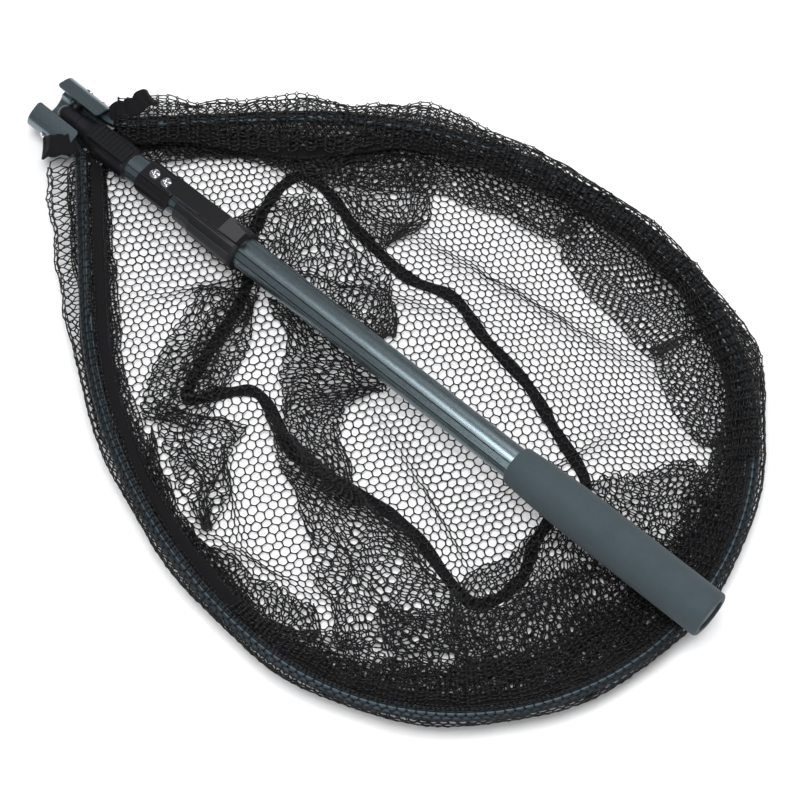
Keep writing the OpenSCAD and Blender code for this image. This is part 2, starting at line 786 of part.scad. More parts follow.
module clamp_ferrule() {
    bore = inner_d + 2 * run_gap;
    finger_d = bore + 2 * finger_wall;
    color("dimgray") handle_frame() difference() {
        union() {
            bar(finger_start, tube_mouth, finger_d);
            bar(tube_mouth - 3, ferrule_end, ferrule_d);
        }
        bar(finger_start - 1, tube_mouth, bore);
        bar(tube_mouth - seat_gap, ferrule_end + 1, outer_d + 2 * seat_gap);
        for (turn = [0, 60, 120]) rotate([turn, 0, 0])
            translate([finger_start - 1, -finger_slit / 2, -finger_d])
                cube([finger_len - 5, finger_slit, 2 * finger_d]);
    }
}

module twist_collar() {
    ring_end = collar_start + ring_len;
    body_end = collar_end - rim_len;
    step_r = ferrule_d / 2 + 1.1;
    finger_bore = inner_d + 2 * run_gap + 2 * finger_wall + 2 * free_gap;
    color("#222226") handle_frame() difference() {
        union() {
            turned([[collar_start, 0], [collar_start, ring_d / 2 - 0.8], [collar_start + 0.8, ring_d / 2],
                [ring_end - 1, ring_d / 2], [ring_end, step_r + free_gap], [ring_end + 20, step_r + 0.7],
                [body_end, collar_d / 2], [body_end, 0]]);
            collar_ribs(ring_end + 1, body_end, step_r + free_gap);
        }
        bar(collar_start - 1, collar_end, inner_d + 2 * free_gap);
        bar(finger_start - 1, tube_mouth, finger_bore);
        bar(tube_mouth - 3 - free_gap, collar_end + 1, ferrule_d + 2 * free_gap);
    }
}

// Fine ribs along the collar, in groups with smooth panels between them
module collar_ribs(from, to, front_r) {
    slope = atan((collar_d / 2 - front_r) / (to - from));
    spread = 360 / rib_groups * rib_cover / rib_count;
    for (group = [0:rib_groups - 1], i = [0:rib_count - 1])
        rotate([360 / rib_groups * group + spread * i, 0, 0])
            translate([from, -rib_w / 2, front_r - 1]) rotate([0, -slope, 0])
                cube([(to - from) / cos(slope), rib_w, 1 + rib_h]);
}

module collar_rim() {
    body_end = collar_end - rim_len;
    color("black") handle_frame() difference() {
        turned([[body_end + seat_gap, 0], [body_end + seat_gap, collar_d / 2 + rib_h],
            [collar_end - 1, collar_d / 2 + rib_h], [collar_end, collar_d / 2 - 0.6], [collar_end, 0]]);
        bar(body_end - 1, collar_end + 1, outer_d + 2 * free_gap);
    }
}

// Radius of the grip at a share t of its flare
function grip_radius(t) = grip_front_d / 2 + (grip_d - grip_front_d) / 2 * t * (2 - t);

module foam_grip() {
    edge = [for (i = [0:4]) let (a = 22.5 * i) grip_edge_r * [1 - cos(a), sin(a) - 1]];
    front = [for (e = edge) [grip_start + e[0], grip_front_d / 2 + e[1]]];
    flare = [for (i = [1:8]) let (t = i / 8)
        [grip_start + grip_edge_r + (grip_flare - grip_edge_r) * t, grip_radius(t)]];
    rear = [for (i = [4:-1:0]) [handle_len - edge[i][0], grip_d / 2 + edge[i][1]]];
    color("#48565d") handle_frame() difference() {
        turned(concat([[grip_start, 0]], front, flare, rear, [[handle_len, 0]]));
        bar(grip_start - 1, handle_len + 1, outer_d + 2 * seat_gap);
    }
}

module butt_plug() {
    tube_end = handle_len - butt_recess - 2;
    color("black") handle_frame() union() {
        bar(tube_end + seat_gap, handle_len - butt_recess, outer_d - 2 * seat_gap);
        bar(handle_len - butt_recess - butt_seat, tube_end + 1, outer_bore - 2 * seat_gap);
    }
}

head_bracket();
hinge_pin();
hinge_spacers();
hoop_frame();
arm_rivets();
net_sleeve();
hem_tape();
cuff_left();
cuff_right();
net_sides();
net_base();
seam_tape();
hinge_tongue();
inner_tube();
inner_tube_bush();
clip_saddle();
belt_clip();
clip_screws();
lock_slider();
thumb_pad();
outer_tube();
clamp_ferrule();
foam_grip();
butt_plug();
twist_collar();
collar_rim();
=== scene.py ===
import json
import math

import bpy
import numpy as np
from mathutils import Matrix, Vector


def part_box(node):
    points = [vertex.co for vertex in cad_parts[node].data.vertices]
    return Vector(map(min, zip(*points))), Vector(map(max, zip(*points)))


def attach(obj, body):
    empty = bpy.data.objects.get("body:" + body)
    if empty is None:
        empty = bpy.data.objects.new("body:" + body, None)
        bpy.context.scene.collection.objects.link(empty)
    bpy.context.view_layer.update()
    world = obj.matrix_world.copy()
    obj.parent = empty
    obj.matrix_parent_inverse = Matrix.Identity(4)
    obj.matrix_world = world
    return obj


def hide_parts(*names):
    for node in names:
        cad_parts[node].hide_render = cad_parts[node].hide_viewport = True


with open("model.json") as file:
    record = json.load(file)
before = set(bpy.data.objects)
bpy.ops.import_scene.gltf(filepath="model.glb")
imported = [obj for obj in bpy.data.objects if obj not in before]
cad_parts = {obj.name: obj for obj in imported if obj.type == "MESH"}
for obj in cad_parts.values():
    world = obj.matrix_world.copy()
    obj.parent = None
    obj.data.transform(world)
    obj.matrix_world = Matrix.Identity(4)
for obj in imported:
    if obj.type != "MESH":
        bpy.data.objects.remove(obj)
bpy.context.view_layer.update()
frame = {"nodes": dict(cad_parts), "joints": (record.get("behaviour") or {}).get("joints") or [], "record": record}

# Folding landing net: the finish of every hard piece, and the netting, tapes and cuffs as cloth.
# Everything is in metres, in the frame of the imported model: +X runs from the hinge to the grip.

JOINTS = {joint["name"]: joint for joint in frame["joints"]}
HINGE = Vector(JOINTS["head_fold"]["pos_m"])

# ---- the hoop ----

ARM_ANGLE = math.radians(44)
BEND_R = 0.020
PROFILE_W = 0.011
PROFILE_H = 0.008
BRACKET_WALL = 0.002
FREE_GAP = 0.0003
ARM_LEAD = 0.0018
# Steps along the straight side of the hoop's middle line. Each curved part has twice as many
LINE_STEPS = 30

hoop_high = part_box("hoop_frame")[1]
bracket_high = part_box("head_bracket")[1]
HOOP_Z = HINGE.z
HOOP_TIP = hoop_high.x - PROFILE_W / 2
HOOP_HALF = hoop_high.y - PROFILE_W / 2
ARM_Y = bracket_high.y - BRACKET_WALL - PROFILE_W / 2 - FREE_GAP


def hoop_half():
    """One half of the hoop's middle line, from the end of the bend to the tip: x, y, outward angle."""
    far_x = HOOP_TIP - HOOP_HALF
    bend_reach = BEND_R * math.tan(ARM_ANGLE / 2)
    bend_x = bracket_high.x + ARM_LEAD + bend_reach
    side_r = (far_x - bend_x) * math.sin(ARM_ANGLE) - (HOOP_HALF - ARM_Y) * math.cos(ARM_ANGLE)
    side_r /= 1 - math.cos(ARM_ANGLE)
    turn = math.pi / 2 + ARM_ANGLE
    start = (far_x + side_r * math.cos(turn), HOOP_HALF - side_r + side_r * math.sin(turn))
    points = []
    for share in np.linspace(0, 1, LINE_STEPS, endpoint=False):
        points.append((bend_x + (start[0] - bend_x) * share, ARM_Y + (start[1] - ARM_Y) * share, turn))
    for a in np.linspace(turn, math.pi / 2, 2 * LINE_STEPS, endpoint=False):
        points.append((far_x + side_r * math.cos(a), HOOP_HALF - side_r + side_r * math.sin(a), a))
    for a in np.linspace(math.pi / 2, 0, 2 * LINE_STEPS + 1):
        points.append((far_x + HOOP_HALF * math.cos(a), HOOP_HALF * math.sin(a), a))
    return np.array(points)


class HoopLine:
    """The hoop's middle line by its length: 0 at the left arm (-Y), all at the right arm (+Y)."""

    def __init__(self):
        right = hoop_half()
        left = right * [1, -1, -1]
        line = np.vstack([left, right[::-1][1:]])
        self.xy = line[:, :2]
        self.out = np.stack([np.cos(line[:, 2]), np.sin(line[:, 2])], 1)
        steps = np.linalg.norm(np.diff(self.xy, axis=0), axis=1)
        self.s = np.concatenate([[0], np.cumsum(steps)])
        self.length = self.s[-1]

    def at(self, share, offset):
        """Places at a share of the length, moved outwards by offset."""
        s = np.asarray(share) * self.length
        out = self.outward(share)
        base = np.stack([np.interp(s, self.s, self.xy[:, i]) for i in (0, 1)], -1)
        return base + out * np.asarray(offset)[..., None]

    def outward(self, share):
        """The outward direction beside the hoop, at a share of the length."""
        s = np.asarray(share) * self.length
        out = np.stack([np.interp(s, self.s, self.out[:, i]) for i in (0, 1)], -1)
        return out / np.linalg.norm(out, axis=-1, keepdims=True)


HOOP = HoopLine()


def smooth(value, low, high):
    """0 below low, 1 above high, with a soft step between."""
    t = np.clip((np.asarray(value, float) - low) / (high - low), 0, 1)
    return t * t * (3 - 2 * t)


def spline_weights(t):
    """Weights of the four points round t, on a curve that passes through them."""
    return (
        ((2 - t) * t - 1) * t / 2,
        ((3 * t - 5) * t * t + 2) / 2,
        ((4 - 3 * t) * t + 1) * t / 2,
        (t - 1) * t * t / 2,
    )


def curve(corners, share, closed=False):
    """Places at shares of a smooth curve through corner points."""
    corners = np.array(corners, float)
    count = len(corners)
    x = np.asarray(share) * (count if closed else count - 1)
    i = np.floor(x).astype(int)
    i = i if closed else np.clip(i, 0, count - 2)
    weights = spline_weights(x - i)
    total = 0
    for a in range(4):
        pick = (i + a - 1) % count if closed else np.clip(i + a - 1, 0, count - 1)
        total = total + corners[pick] * weights[a][..., None]
    return total


def profile(stops, share):
    """A smooth value along the hoop through pairs of share and value."""
    x, y = np.array(stops).T
    place = np.interp(share, x, np.arange(len(x)) / (len(x) - 1))
    return curve(y[:, None], place)[..., 0]


def ripple(u, v, seed, waves=5):
    """Soft waves from -1 to 1 over u and v, the same on each run."""
    pick = np.random.default_rng(seed)
    total = 0
    for _ in range(waves):
        turn, phase = pick.uniform(0, 2 * math.pi, 2)
        stretch = pick.uniform(0.6, 1.7)
        along = u * math.cos(turn) + v * math.sin(turn)
        total = total + np.sin(stretch * along * 2 * math.pi + phase)
    return total / math.sqrt(waves) / 1.2


# ---- meshes ----


# Room that the lock slider needs: the way it slides towards the hinge, and a gap round it
slider_low, slider_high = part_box("lock_slider")
SLIDER_TRAVEL = 0.0136
SLIDER_ROOM = 0.0010


def keep_clear_of_slider(points):
    """Soft pieces stay out of the way of the lock slider as it slides towards the hinge."""
    x, y, z = points.T
    side = slider_high.y + SLIDER_ROOM
    beside = (x > slider_low.x - SLIDER_TRAVEL - SLIDER_ROOM) & (x < slider_high.x + SLIDER_ROOM)
    beside &= (z > slider_low.z - SLIDER_ROOM) & (np.abs(y) < side)
    points[beside, 1] = np.where(y[beside] < 0, -side, side)


def soft_piece(name, points, faces, slot, stands_for):
    """A soft piece of the head, from arrays of points and of faces with as many corners each."""
    points = np.array(points, np.float32).reshape(-1, 3)
    points[:, 2] = np.maximum(points[:, 2], 0)
    keep_clear_of_slider(points)
    faces = np.asarray(faces, np.int32)
    mesh = bpy.data.meshes.new(name)
    mesh.vertices.add(len(points))
    mesh.vertices.foreach_set("co", points.ravel())
    mesh.loops.add(faces.size)
    mesh.loops.foreach_set("vertex_index", faces.ravel())
    mesh.polygons.add(len(faces))
    corners = faces.shape[1]
    mesh.polygons.foreach_set("loop_start", np.arange(len(faces), dtype=np.int32) * corners)
    mesh.polygons.foreach_set("loop_total", np.full(len(faces), corners, np.int32))
    mesh.polygons.foreach_set("use_smooth", np.full(len(faces), True))
    mesh.update(calc_edges=True)
    piece = bpy.data.objects.new(name, mesh)
    bpy.context.scene.collection.objects.link(piece)
    piece.data.materials.append(FINISHES[slot])
    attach(piece, "head")
    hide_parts(*stands_for)
    return piece


def lofted(rings, closed_ends=True):
    """Points and four-sided faces of a skin over rings of points, each ring a closed loop."""
    rings = np.asarray(rings)
    count, around = rings.shape[:2]
    step = np.arange(count - 1)[:, None] * around
    here = np.arange(around)
    after = (here + 1) % around
    faces = np.stack([step + here, step + around + here, step + around + after, step + after], -1)
    faces = faces.reshape(-1, 4)
    if closed_ends:
        half = around // 2
        caps = np.array([[i, i + 1, around - 2 - i, around - 1 - i] for i in range(half - 1)])
        last = (count - 1) * around
        faces = np.vstack([faces, caps, caps[:, ::-1] + last])
    return rings.reshape(-1, 3), faces


def ribbon(middle, across, width, thickness, crown=0.0):
    """Rings of a flat tape with rounded edges, along a line of middle points."""
    along = np.gradient(middle, axis=0)
    along /= np.linalg.norm(along, axis=1, keepdims=True)
    across = across - along * (across * along).sum(1, keepdims=True)
    across /= np.linalg.norm(across, axis=1, keepdims=True)
    up = np.cross(along, across)
    half_w = np.broadcast_to(np.asarray(width) / 2, len(middle))[:, None]
    half_t = thickness / 2
    section = [(-1, -0.5), (-0.96, -1), (-0.5, -1), (0, -1), (0.5, -1), (0.96, -1), (1, -0.5)]
    section += [(-side, -face) for side, face in section]
    rings = []
    for side, face in section:
        rise = half_t * face + crown * (1 - side * side)
        rings.append(middle + across * half_w * side + up * rise)
    return np.stack(rings, 1)


# ---- netting: six-sided cells of thread ----

CELL = 0.0076
THREAD = 0.00118
KNOT_SWELL = 1.12
MIDDLE_SWELL = 0.9
THREAD_SHARE = 0.42


class Lattice:
    """Knots and threads of six-sided cells over a flat sheet of a given width and length."""

    def __init__(self, width, length, columns=None):
        side = CELL / math.sqrt(3)
        columns = columns or max(2, round(width / (CELL / 2)))
        rows = max(2, round(length / (1.5 * side)))
        c, r = np.meshgrid(np.arange(columns), np.arange(rows + 1), indexing="ij")
        lift = ((c + r) % 2) / 3.0 - 1 / 6
        self.u = (c / columns).ravel()
        self.v = ((r + lift) / rows).ravel()

        def number(i, j):
            return (i % columns) * (rows + 1) + j

        sideways = np.stack([number(c, r).ravel(), number(c + 1, r).ravel()], 1)
        odd = ((c + r) % 2 == 1) & (r < rows)
        endways = np.stack([number(c, r)[odd], number(c, r + 1)[odd]], 1)
        self.threads = np.vstack([sideways, endways])
        self.wraps = np.concatenate([(c == columns - 1).ravel(), np.zeros(len(endways), bool)])
        first, second = self.threads.T
        onward = np.concatenate([np.full(len(sideways), 0.5 / columns), np.zeros(len(endways))])
        self.middle_u = self.u[first] + onward
        self.middle_v = (self.v[first] + self.v[second]) / 2


def thread_mesh(start, middle, end):
    """A short closed rod for each thread: rings of four points at its start, middle and end."""
    along = end - start
    length = np.linalg.norm(along, axis=1)
    keep = length > 1e-6
    start, middle, end, along = start[keep], middle[keep], end[keep], along[keep] / length[keep, None]
    flat = np.cross(along, [0.0, 0.0, 1.0])
    steep = np.linalg.norm(flat, axis=1) < 0.1
    flat[steep] = np.cross(along[steep], [1.0, 0.0, 0.0])
    flat /= np.linalg.norm(flat, axis=1, keepdims=True)
    up = np.cross(flat, along)
    rings = []
    for centre, swell in ((start, KNOT_SWELL), (middle, MIDDLE_SWELL), (end, KNOT_SWELL)):
        for side, rise in ((1, 0), (0, 1), (-1, 0), (0, -1)):
            rings.append(centre + (flat * side + up * rise) * THREAD / 2 * swell)
    points = np.stack(rings, 1)
    skin = [[4 * k + i, 4 * k + (i + 1) % 4, 4 * k + 4 + (i + 1) % 4, 4 * k + 4 + i]
            for k in (0, 1) for i in range(4)]
    skin += [[3, 2, 1, 0], [8, 9, 10, 11]]
    faces = np.arange(len(points))[:, None, None] * 12 + np.array(skin)
    return points.reshape(-1, 3), faces.reshape(-1, 4)


class Netting:
    """Netting laid on a surface: the places of its knots and of the middles of its threads."""

    def __init__(self, lattice, surface, seed, stray=0.00025):
        shift = np.random.default_rng(seed).normal(0, stray, (len(lattice.u), 3))
        first, second = lattice.threads.T
        self.lattice = lattice
        knots = surface(lattice.u, lattice.v) + shift
        middles = surface(lattice.middle_u, lattice.middle_v)
        self.middles = middles + (shift[first] + shift[second]) / 2
        self.starts, self.ends = knots[first], knots[second]

    def piece(self, name, chosen, flat, held, rests_on, stands_for):
        """The chosen threads as one sheet."""
        points, faces = thread_mesh(self.starts[chosen], self.middles[chosen], self.ends[chosen])
        made = soft_piece(name, points, faces, "black_netting", stands_for)
        area = THREAD_SHARE * flat[0] * flat[1]


# ---- cloth under its own weight ----

GRAVITY = 9.8
TIME_STEP = 1 / 50
ROUNDS = 10
HOLD_THREAD = 1.0
HOLD_SLANT = 0.25
HOLD_BEND = 0.03
KEPT_SPEED = 0.96
KEPT_SLIDE = 0.4

class Cloth:
    """A ring of netting as a grid of points, let down by short steps that keep its lengths."""

    def __init__(self, grid, across):
        self.p = grid.copy()
        self.rows, self.columns = grid.shape[:2]
        self.free = np.ones((self.rows, self.columns, 1))
        self.free[0] = 0
        self.free[-1] = 0
        self.ties = []
        index = np.arange(self.rows * self.columns).reshape(self.rows, self.columns)
        ring = np.roll(index, -1, axis=1)
        down = np.linalg.norm(np.diff(grid, axis=0), axis=2).mean(0)[None]
        for part in (0, 1):
            self.tie(index[:, part::2], ring[:, part::2], across, HOLD_THREAD)
            self.tie(index[part:-1:2], index[part + 1::2], down, HOLD_THREAD)
        slant = np.hypot(across, down)
        for part in (0, 1):
            upper, lower = index[part:-1:2], index[part + 1::2]
            self.tie(upper, np.roll(lower, -1, axis=1), slant, HOLD_SLANT)
            self.tie(np.roll(upper, -1, axis=1), lower, slant, HOLD_SLANT)
        for part in (0, 1):
            pick = [i for i in range(self.rows - 2) if (i // 2) % 2 == part]
            self.tie(index[pick], index[[i + 2 for i in pick]], 2 * down, HOLD_BEND)
        two = np.roll(index, -2, axis=1)
        for part in (0, 1):
            pick = [j for j in range(self.columns) if (j // 2) % 2 == part]
            self.tie(index[:, pick], two[:, pick], 2 * across, HOLD_BEND)

    def tie(self, first, second, rest, hold):
        """Pairs of points to keep at a distance, and how firmly. No point is in two of the pairs."""
        rest = np.broadcast_to(rest, first.shape).reshape(-1, 1)
        self.ties.append((first.ravel(), second.ravel(), rest, hold))

    def settle(self, steps, limit):
        """Lets the cloth down. limit gives the lowest and the highest place for each point."""
        p = self.p.reshape(-1, 3)
        free = self.free.reshape(-1, 1)
        before = p.copy()
        for _ in range(steps):
            speed = (p - before) * KEPT_SPEED
            before = p.copy()
            p += speed * free
            p[:, 2:] -= GRAVITY * TIME_STEP * TIME_STEP * free
            for _ in range(ROUNDS):
                for first, second, rest, hold in self.ties:
                    gap = p[second] - p[first]
                    length = np.linalg.norm(gap, axis=1, keepdims=True) + 1e-9
                    wa, wb = free[first], free[second]
                    pull = gap * (hold * (length - rest) / length / (wa + wb + 1e-9))
                    p[first] += pull * wa
                    p[second] -= pull * wb
            low, high = limit(p)
            p[:, 2] = np.where(free[:, 0] > 0, np.clip(p[:, 2], low, high), p[:, 2])
            lies = (p[:, 2] < low + 0.001)[:, None]
            slid = before[:, :2] + KEPT_SLIDE * (p[:, :2] - before[:, :2])
            p[:, :2] = np.where(lies, slid, p[:, :2])
        self.p = p.reshape(self.rows, self.columns, 3)

    def at(self, u, v):
        """Places on the cloth, at shares u round it and v down it, on a smooth surface."""
        x = u * self.columns
        y = np.clip(v, 0, 1) * (self.rows - 1)
        i, j = np.floor(y).astype(int), np.floor(x).astype(int)
        wy, wx = spline_weights(y - i), spline_weights(x - j)
        total = 0
        for a in range(4):
            row = np.clip(i + a - 1, 0, self.rows - 1)
            for b in range(4):
                column = (j + b - 1) % self.columns
                total = total + self.p[row, column] * (wy[a] * wx[b])[:, None]
        return total


# ---- shader maths ----


class Value:
    """A socket that takes part in sums."""

    def __init__(self, finish, socket):
        self.finish = finish
        self.socket = socket

    def sum(self, operation, first, second):
        return self.finish.node("ShaderNodeMath", {"operation": operation}, {0: first, 1: second})

    def __add__(self, other):
        return self.sum("ADD", self, other)

    def __sub__(self, other):
        return self.sum("SUBTRACT", self, other)

    def __rsub__(self, other):
        return self.sum("SUBTRACT", other, self)

    def __mul__(self, other):
        return self.sum("MULTIPLY", self, other)

    def __mod__(self, other):
        return self.sum("FLOORED_MODULO", self, other)

    def __abs__(self):
        return self.sum("ABSOLUTE", self, 0.0)

    def __lt__(self, other):
        return self.sum("LESS_THAN", self, other)

    __radd__ = __add__


class Finish:
    """A material with one Principled shader, built from expressions."""

    def __init__(self, name, **constants):
        self.material = bpy.data.materials.new(name)
        self.material.use_nodes = True
        self.tree = self.material.node_tree
        self.shader = self.tree.nodes["Principled BSDF"]
        for socket, value in constants.items():
            self.shader.inputs[socket.replace("_", " ")].default_value = value
        self.place = self.node("ShaderNodeTexCoord", output="Object")

    def node(self, kind, settings=None, inputs=None, output=0):
        """A new node with its settings and inputs. Gives the chosen output."""
        made = self.tree.nodes.new(kind)
        for name, value in (settings or {}).items():
            setattr(made, name, value)
        for name, value in (inputs or {}).items():
            self.feed(made.inputs[name], value)
        return Value(self, made.outputs[output])

    def feed(self, socket, value):
        """Links a socket to a value from another node, or sets it to a plain number."""
        if isinstance(value, Value):
            self.tree.links.new(value.socket, socket)
        else:
            socket.default_value = value

    def stretched(self, x, y, z):
        """The piece's own coordinates, scaled on each axis."""
        settings = {"operation": "MULTIPLY"}
        return self.node("ShaderNodeVectorMath", settings, {0: self.place, 1: (x, y, z)})

    def round_handle(self):
        """The turn round the handle's axis, in radians from straight up towards the left."""
        along = JOINTS["telescope"]["axis"]
        apart = [self.node("ShaderNodeSeparateXYZ", None, {0: self.place}, i) for i in range(3)]
        height = (apart[2] - HINGE.z) * along[0] - (apart[0] - HINGE.x) * along[2]
        inputs = {0: apart[1] * -1.0, 1: height}
        return self.node("ShaderNodeMath", {"operation": "ARCTAN2"}, inputs)

    def noise(self, scale, detail, place=None):
        inputs = {"Vector": place or self.place, "Scale": scale, "Detail": detail}
        return self.node("ShaderNodeTexNoise", None, inputs, "Fac")

    def blend(self, share, dark, light):
        """A colour between two colours. The sockets go by number, since several share a name."""
        ends = [end if isinstance(end, Value) else (*end, 1) for end in (dark, light)]
        inputs = {0: share, 6: ends[0], 7: ends[1]}
        return self.node("ShaderNodeMix", {"data_type": "RGBA"}, inputs, 2)

    def bump(self, height, depth):
        inputs = {"Height": height, "Distance": depth}
        self.feed(self.shader.inputs["Normal"], self.node("ShaderNodeBump", None, inputs, "Normal"))

    def colour(self, value):
        self.feed(self.shader.inputs["Base Color"], value)

    def rough(self, value):
        self.feed(self.shader.inputs["Roughness"], value)


# Seven groups of five ribs round the twist collar, and the wide groove along the tubes, in radians
RIB_GROUP = math.tau / 7
RIB_STEP = RIB_GROUP * 0.62 / 5
RIB_WIDE = 0.046
RIBS_END = RIB_STEP * 4.5
GROOVE_TURN = math.radians(41)
GROOVE_HALF = math.radians(13.6)
# Half the width of the painted shade line along each edge of the groove
GROOVE_SHADE_HALF = 0.032
GROOVE_EDGES = (GROOVE_TURN - GROOVE_HALF, GROOVE_TURN + GROOVE_HALF)


def anodised_aluminium(name="anodised_aluminium", dark=(0.150, 0.195, 0.215),
                       light=(0.215, 0.268, 0.290), shaded_groove_edges=(), smoothest=0.22):
    """Slate-blue satin aluminium, with the fine lines of an extrusion along it, and painted shade: a thin
    near-black line along each of the given groove edges.
    """
    finish = Finish(name, Metallic=0.9, Specular_IOR_Level=0.5)
    lines = finish.noise(1.0, 2.0, finish.stretched(14, 2600, 2600))
    cloud = finish.noise(22.0, 4.0)
    shade = cloud * 0.6 + lines * 0.4
    colour = finish.blend(shade, dark, light)
    for edge in shaded_groove_edges:
        # Painted shade: a thin near-black line along each edge of the groove, where its edge falls into shade
        line = abs(finish.round_handle() - edge) < GROOVE_SHADE_HALF
        colour = finish.blend(line * 0.92, colour, (0.004, 0.005, 0.006))
    finish.colour(colour)
    finish.rough(smoothest + lines * 0.08 + cloud * 0.03)
    finish.bump(lines, 0.00002)
    return finish.material


def bright_steel():
    """Polished steel with fine scratches."""
    finish = Finish("bright_steel", Metallic=1.0)
    scratch = finish.noise(900.0, 3.0)
    finish.colour(finish.blend(scratch, (0.70, 0.71, 0.73), (0.86, 0.87, 0.88)))
    finish.rough(0.14 + scratch * 0.12)
    finish.bump(scratch, 0.00001)
    return finish.material


def moulded_plastic(name, dark, light, roughness):
    """Moulded plastic with a fine spark-eroded grain."""
    finish = Finish(name, Specular_IOR_Level=0.42)
    grain = finish.noise(2400.0, 2.0)
    cloud = finish.noise(35.0, 3.0)
    finish.colour(finish.blend(cloud * 0.7 + grain * 0.3, dark, light))
    finish.rough(roughness - 0.05 + grain * 0.12)
    finish.bump(grain, 0.00003)
    return finish.material


def grip_foam():
    """Closed-cell foam: open pores over a matte slate skin."""
    finish = Finish("grip_foam", Specular_IOR_Level=0.25, Sheen_Weight=0.08, Sheen_Roughness=0.6)
    cells = {"Vector": finish.place, "Scale": 900.0}
    pores = finish.node("ShaderNodeTexVoronoi", None, cells, "Distance")
    cloud = finish.noise(60.0, 5.0)
    speck = finish.noise(700.0, 3.0)
    shade = cloud * 0.5 + speck * 0.5
    finish.colour(finish.blend(shade, (0.026, 0.039, 0.046), (0.054, 0.074, 0.084)))
    finish.rough(0.82 + speck * 0.15)
    finish.bump(pores * 0.6 + speck * 0.7, 0.00022)
    return finish.material


def coated_thread():
    """Black thread with a dull coating, lighter in soft random patches."""
    finish = Finish("coated_thread", Specular_IOR_Level=0.32)
    twist = finish.noise(1500.0, 2.0)
    patchy_tone = finish.noise(28.0, 3.0)
    shade = patchy_tone * 0.6 + twist * 0.4
    finish.colour(finish.blend(shade, (0.0015, 0.0015, 0.002), (0.009, 0.009, 0.010)))
    finish.rough(0.34 + twist * 0.15)
    finish.bump(twist, 0.00008)
    return finish.material


def woven_tape():
    """Black woven tape: two sets of fine ribs that cross."""
    finish = Finish("woven_tape", Specular_IOR_Level=0.15, Sheen_Weight=0.04, Sheen_Roughness=0.5)
    bands = {"wave_type": "BANDS", "bands_direction": "X", "wave_profile": "SIN"}
    ribs = {"Vector": finish.place, "Scale": 260.0, "Distortion": 0.6, "Detail": 1.0}
    warp = finish.node("ShaderNodeTexWave", bands, ribs, "Fac")
    weft = finish.node("ShaderNodeTexWave", {**bands, "bands_direction": "Y"}, ribs, "Fac")
    fuzz = finish.noise(1300.0, 3.0)
    weave = warp * weft * 0.6 + fuzz * 0.4
    finish.colour(finish.blend(weave, (0.002, 0.002, 0.0025), (0.011, 0.011, 0.0125)))
    finish.rough(0.85 + fuzz * 0.1)
    finish.bump(weave, 0.0003)
    return finish.material


def ribbed_plastic():
    """Black plastic whose ribs are painted lighter than the grooves between them: a painted highlight on each rib
    and painted shade in each groove.
    """
    finish = Finish("ribbed_plastic", Specular_IOR_Level=0.5)
    grain = finish.noise(2400.0, 2.0)
    group = (finish.round_handle() + (math.tau + RIB_WIDE / 2)) % RIB_GROUP
    rib = (group < RIBS_END) * ((group % RIB_STEP) < RIB_WIDE)
    # Painted highlight and shade: the ribs take the light colour, the grooves between them the near-black one
    shade = rib * 0.85 + grain * 0.15
    finish.colour(finish.blend(shade, (0.002, 0.002, 0.002), (0.050, 0.051, 0.057)))
    finish.rough(0.42 - rib * 0.10)
    finish.bump(grain, 0.00003)
    return finish.material


FINISHES = {
    # Painted shade: the hoop's aluminium is a darker copy of the tubes' finish, standing in for the shade of the
    # netting over it
    "hoop_aluminium_shaded": anodised_aluminium("hoop_aluminium_shaded", (0.030, 0.041, 0.050), (0.052, 0.068, 0.080),
                                         smoothest=0.42),
    "tube_aluminium": anodised_aluminium("tube_aluminium", shaded_groove_edges=GROOVE_EDGES),
    "ribbed_plastic": ribbed_plastic(),
    "anodised_aluminium": anodised_aluminium(),
    "bright_steel": bright_steel(),
    "black_plastic": moulded_plastic("black_plastic", (0.003, 0.003, 0.004), (0.007, 0.007, 0.009),
                                     0.35),
    "grey_plastic": moulded_plastic("grey_plastic", (0.006, 0.006, 0.008), (0.011, 0.011, 0.014), 0.32),
    "grip_foam": grip_foam(),
    "rim_rubber": moulded_plastic("rim_rubber", (0.005, 0.005, 0.006), (0.010, 0.010, 0.011), 0.60),
    "black_netting": coated_thread(),
    "black_tape": woven_tape(),
}


# Pieces with a finish of their own, in place of that of their material slot
OWN_FINISH = {
    "hoop_frame": "hoop_aluminium_shaded",
    "outer_tube": "tube_aluminium",
    "inner_tube": "tube_aluminium",
    "twist_collar": "ribbed_plastic",
}


def dress_hard_pieces():
    """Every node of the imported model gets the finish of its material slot, or one of its own."""
    for sub in frame["record"]["subparts"]:
        node = frame["nodes"][sub["node"]]
        node.data.materials.clear()
        node.data.materials.append(FINISHES[OWN_FINISH.get(sub["node"], sub["material_slot"])])


# ---- the bag ----

# Places along the hoop run from 0 at the left arm through the tip to 1 at the right arm.
# Each line gives a place and a distance outwards from the middle of the hoop, in metres.
SLEEVE_LOOSE = (
    (0, 0.029), (0.03, 0.028), (0.055, 0.026), (0.075, 0.020), (0.10, 0.014), (0.15, 0.011),
    (0.22, 0.009), (0.40, 0.0085), (0.58, 0.0088),
    (0.605, 0.011), (0.635, 0.019), (0.65, 0.017), (0.68, 0.009), (0.73, 0.010), (0.79, 0.014),
    (0.82, 0.021), (0.84, 0.028), (0.86, 0.021), (0.88, 0.014), (0.90, 0.024), (0.92, 0.021),
    (0.95, 0.020), (0.975, 0.026), (1, 0.028),
)
EDGE_REACH = (
    (0, 0.012), (0.08, 0.008), (0.16, 0.003), (0.26, -0.004), (0.40, -0.006), (0.56, -0.004),
    (0.605, 0.004), (0.635, 0.020), (0.66, 0.010), (0.70, 0.006), (0.78, 0.012), (0.84, 0.022),
    (0.88, 0.012), (0.94, 0.014), (1, 0.010),
)
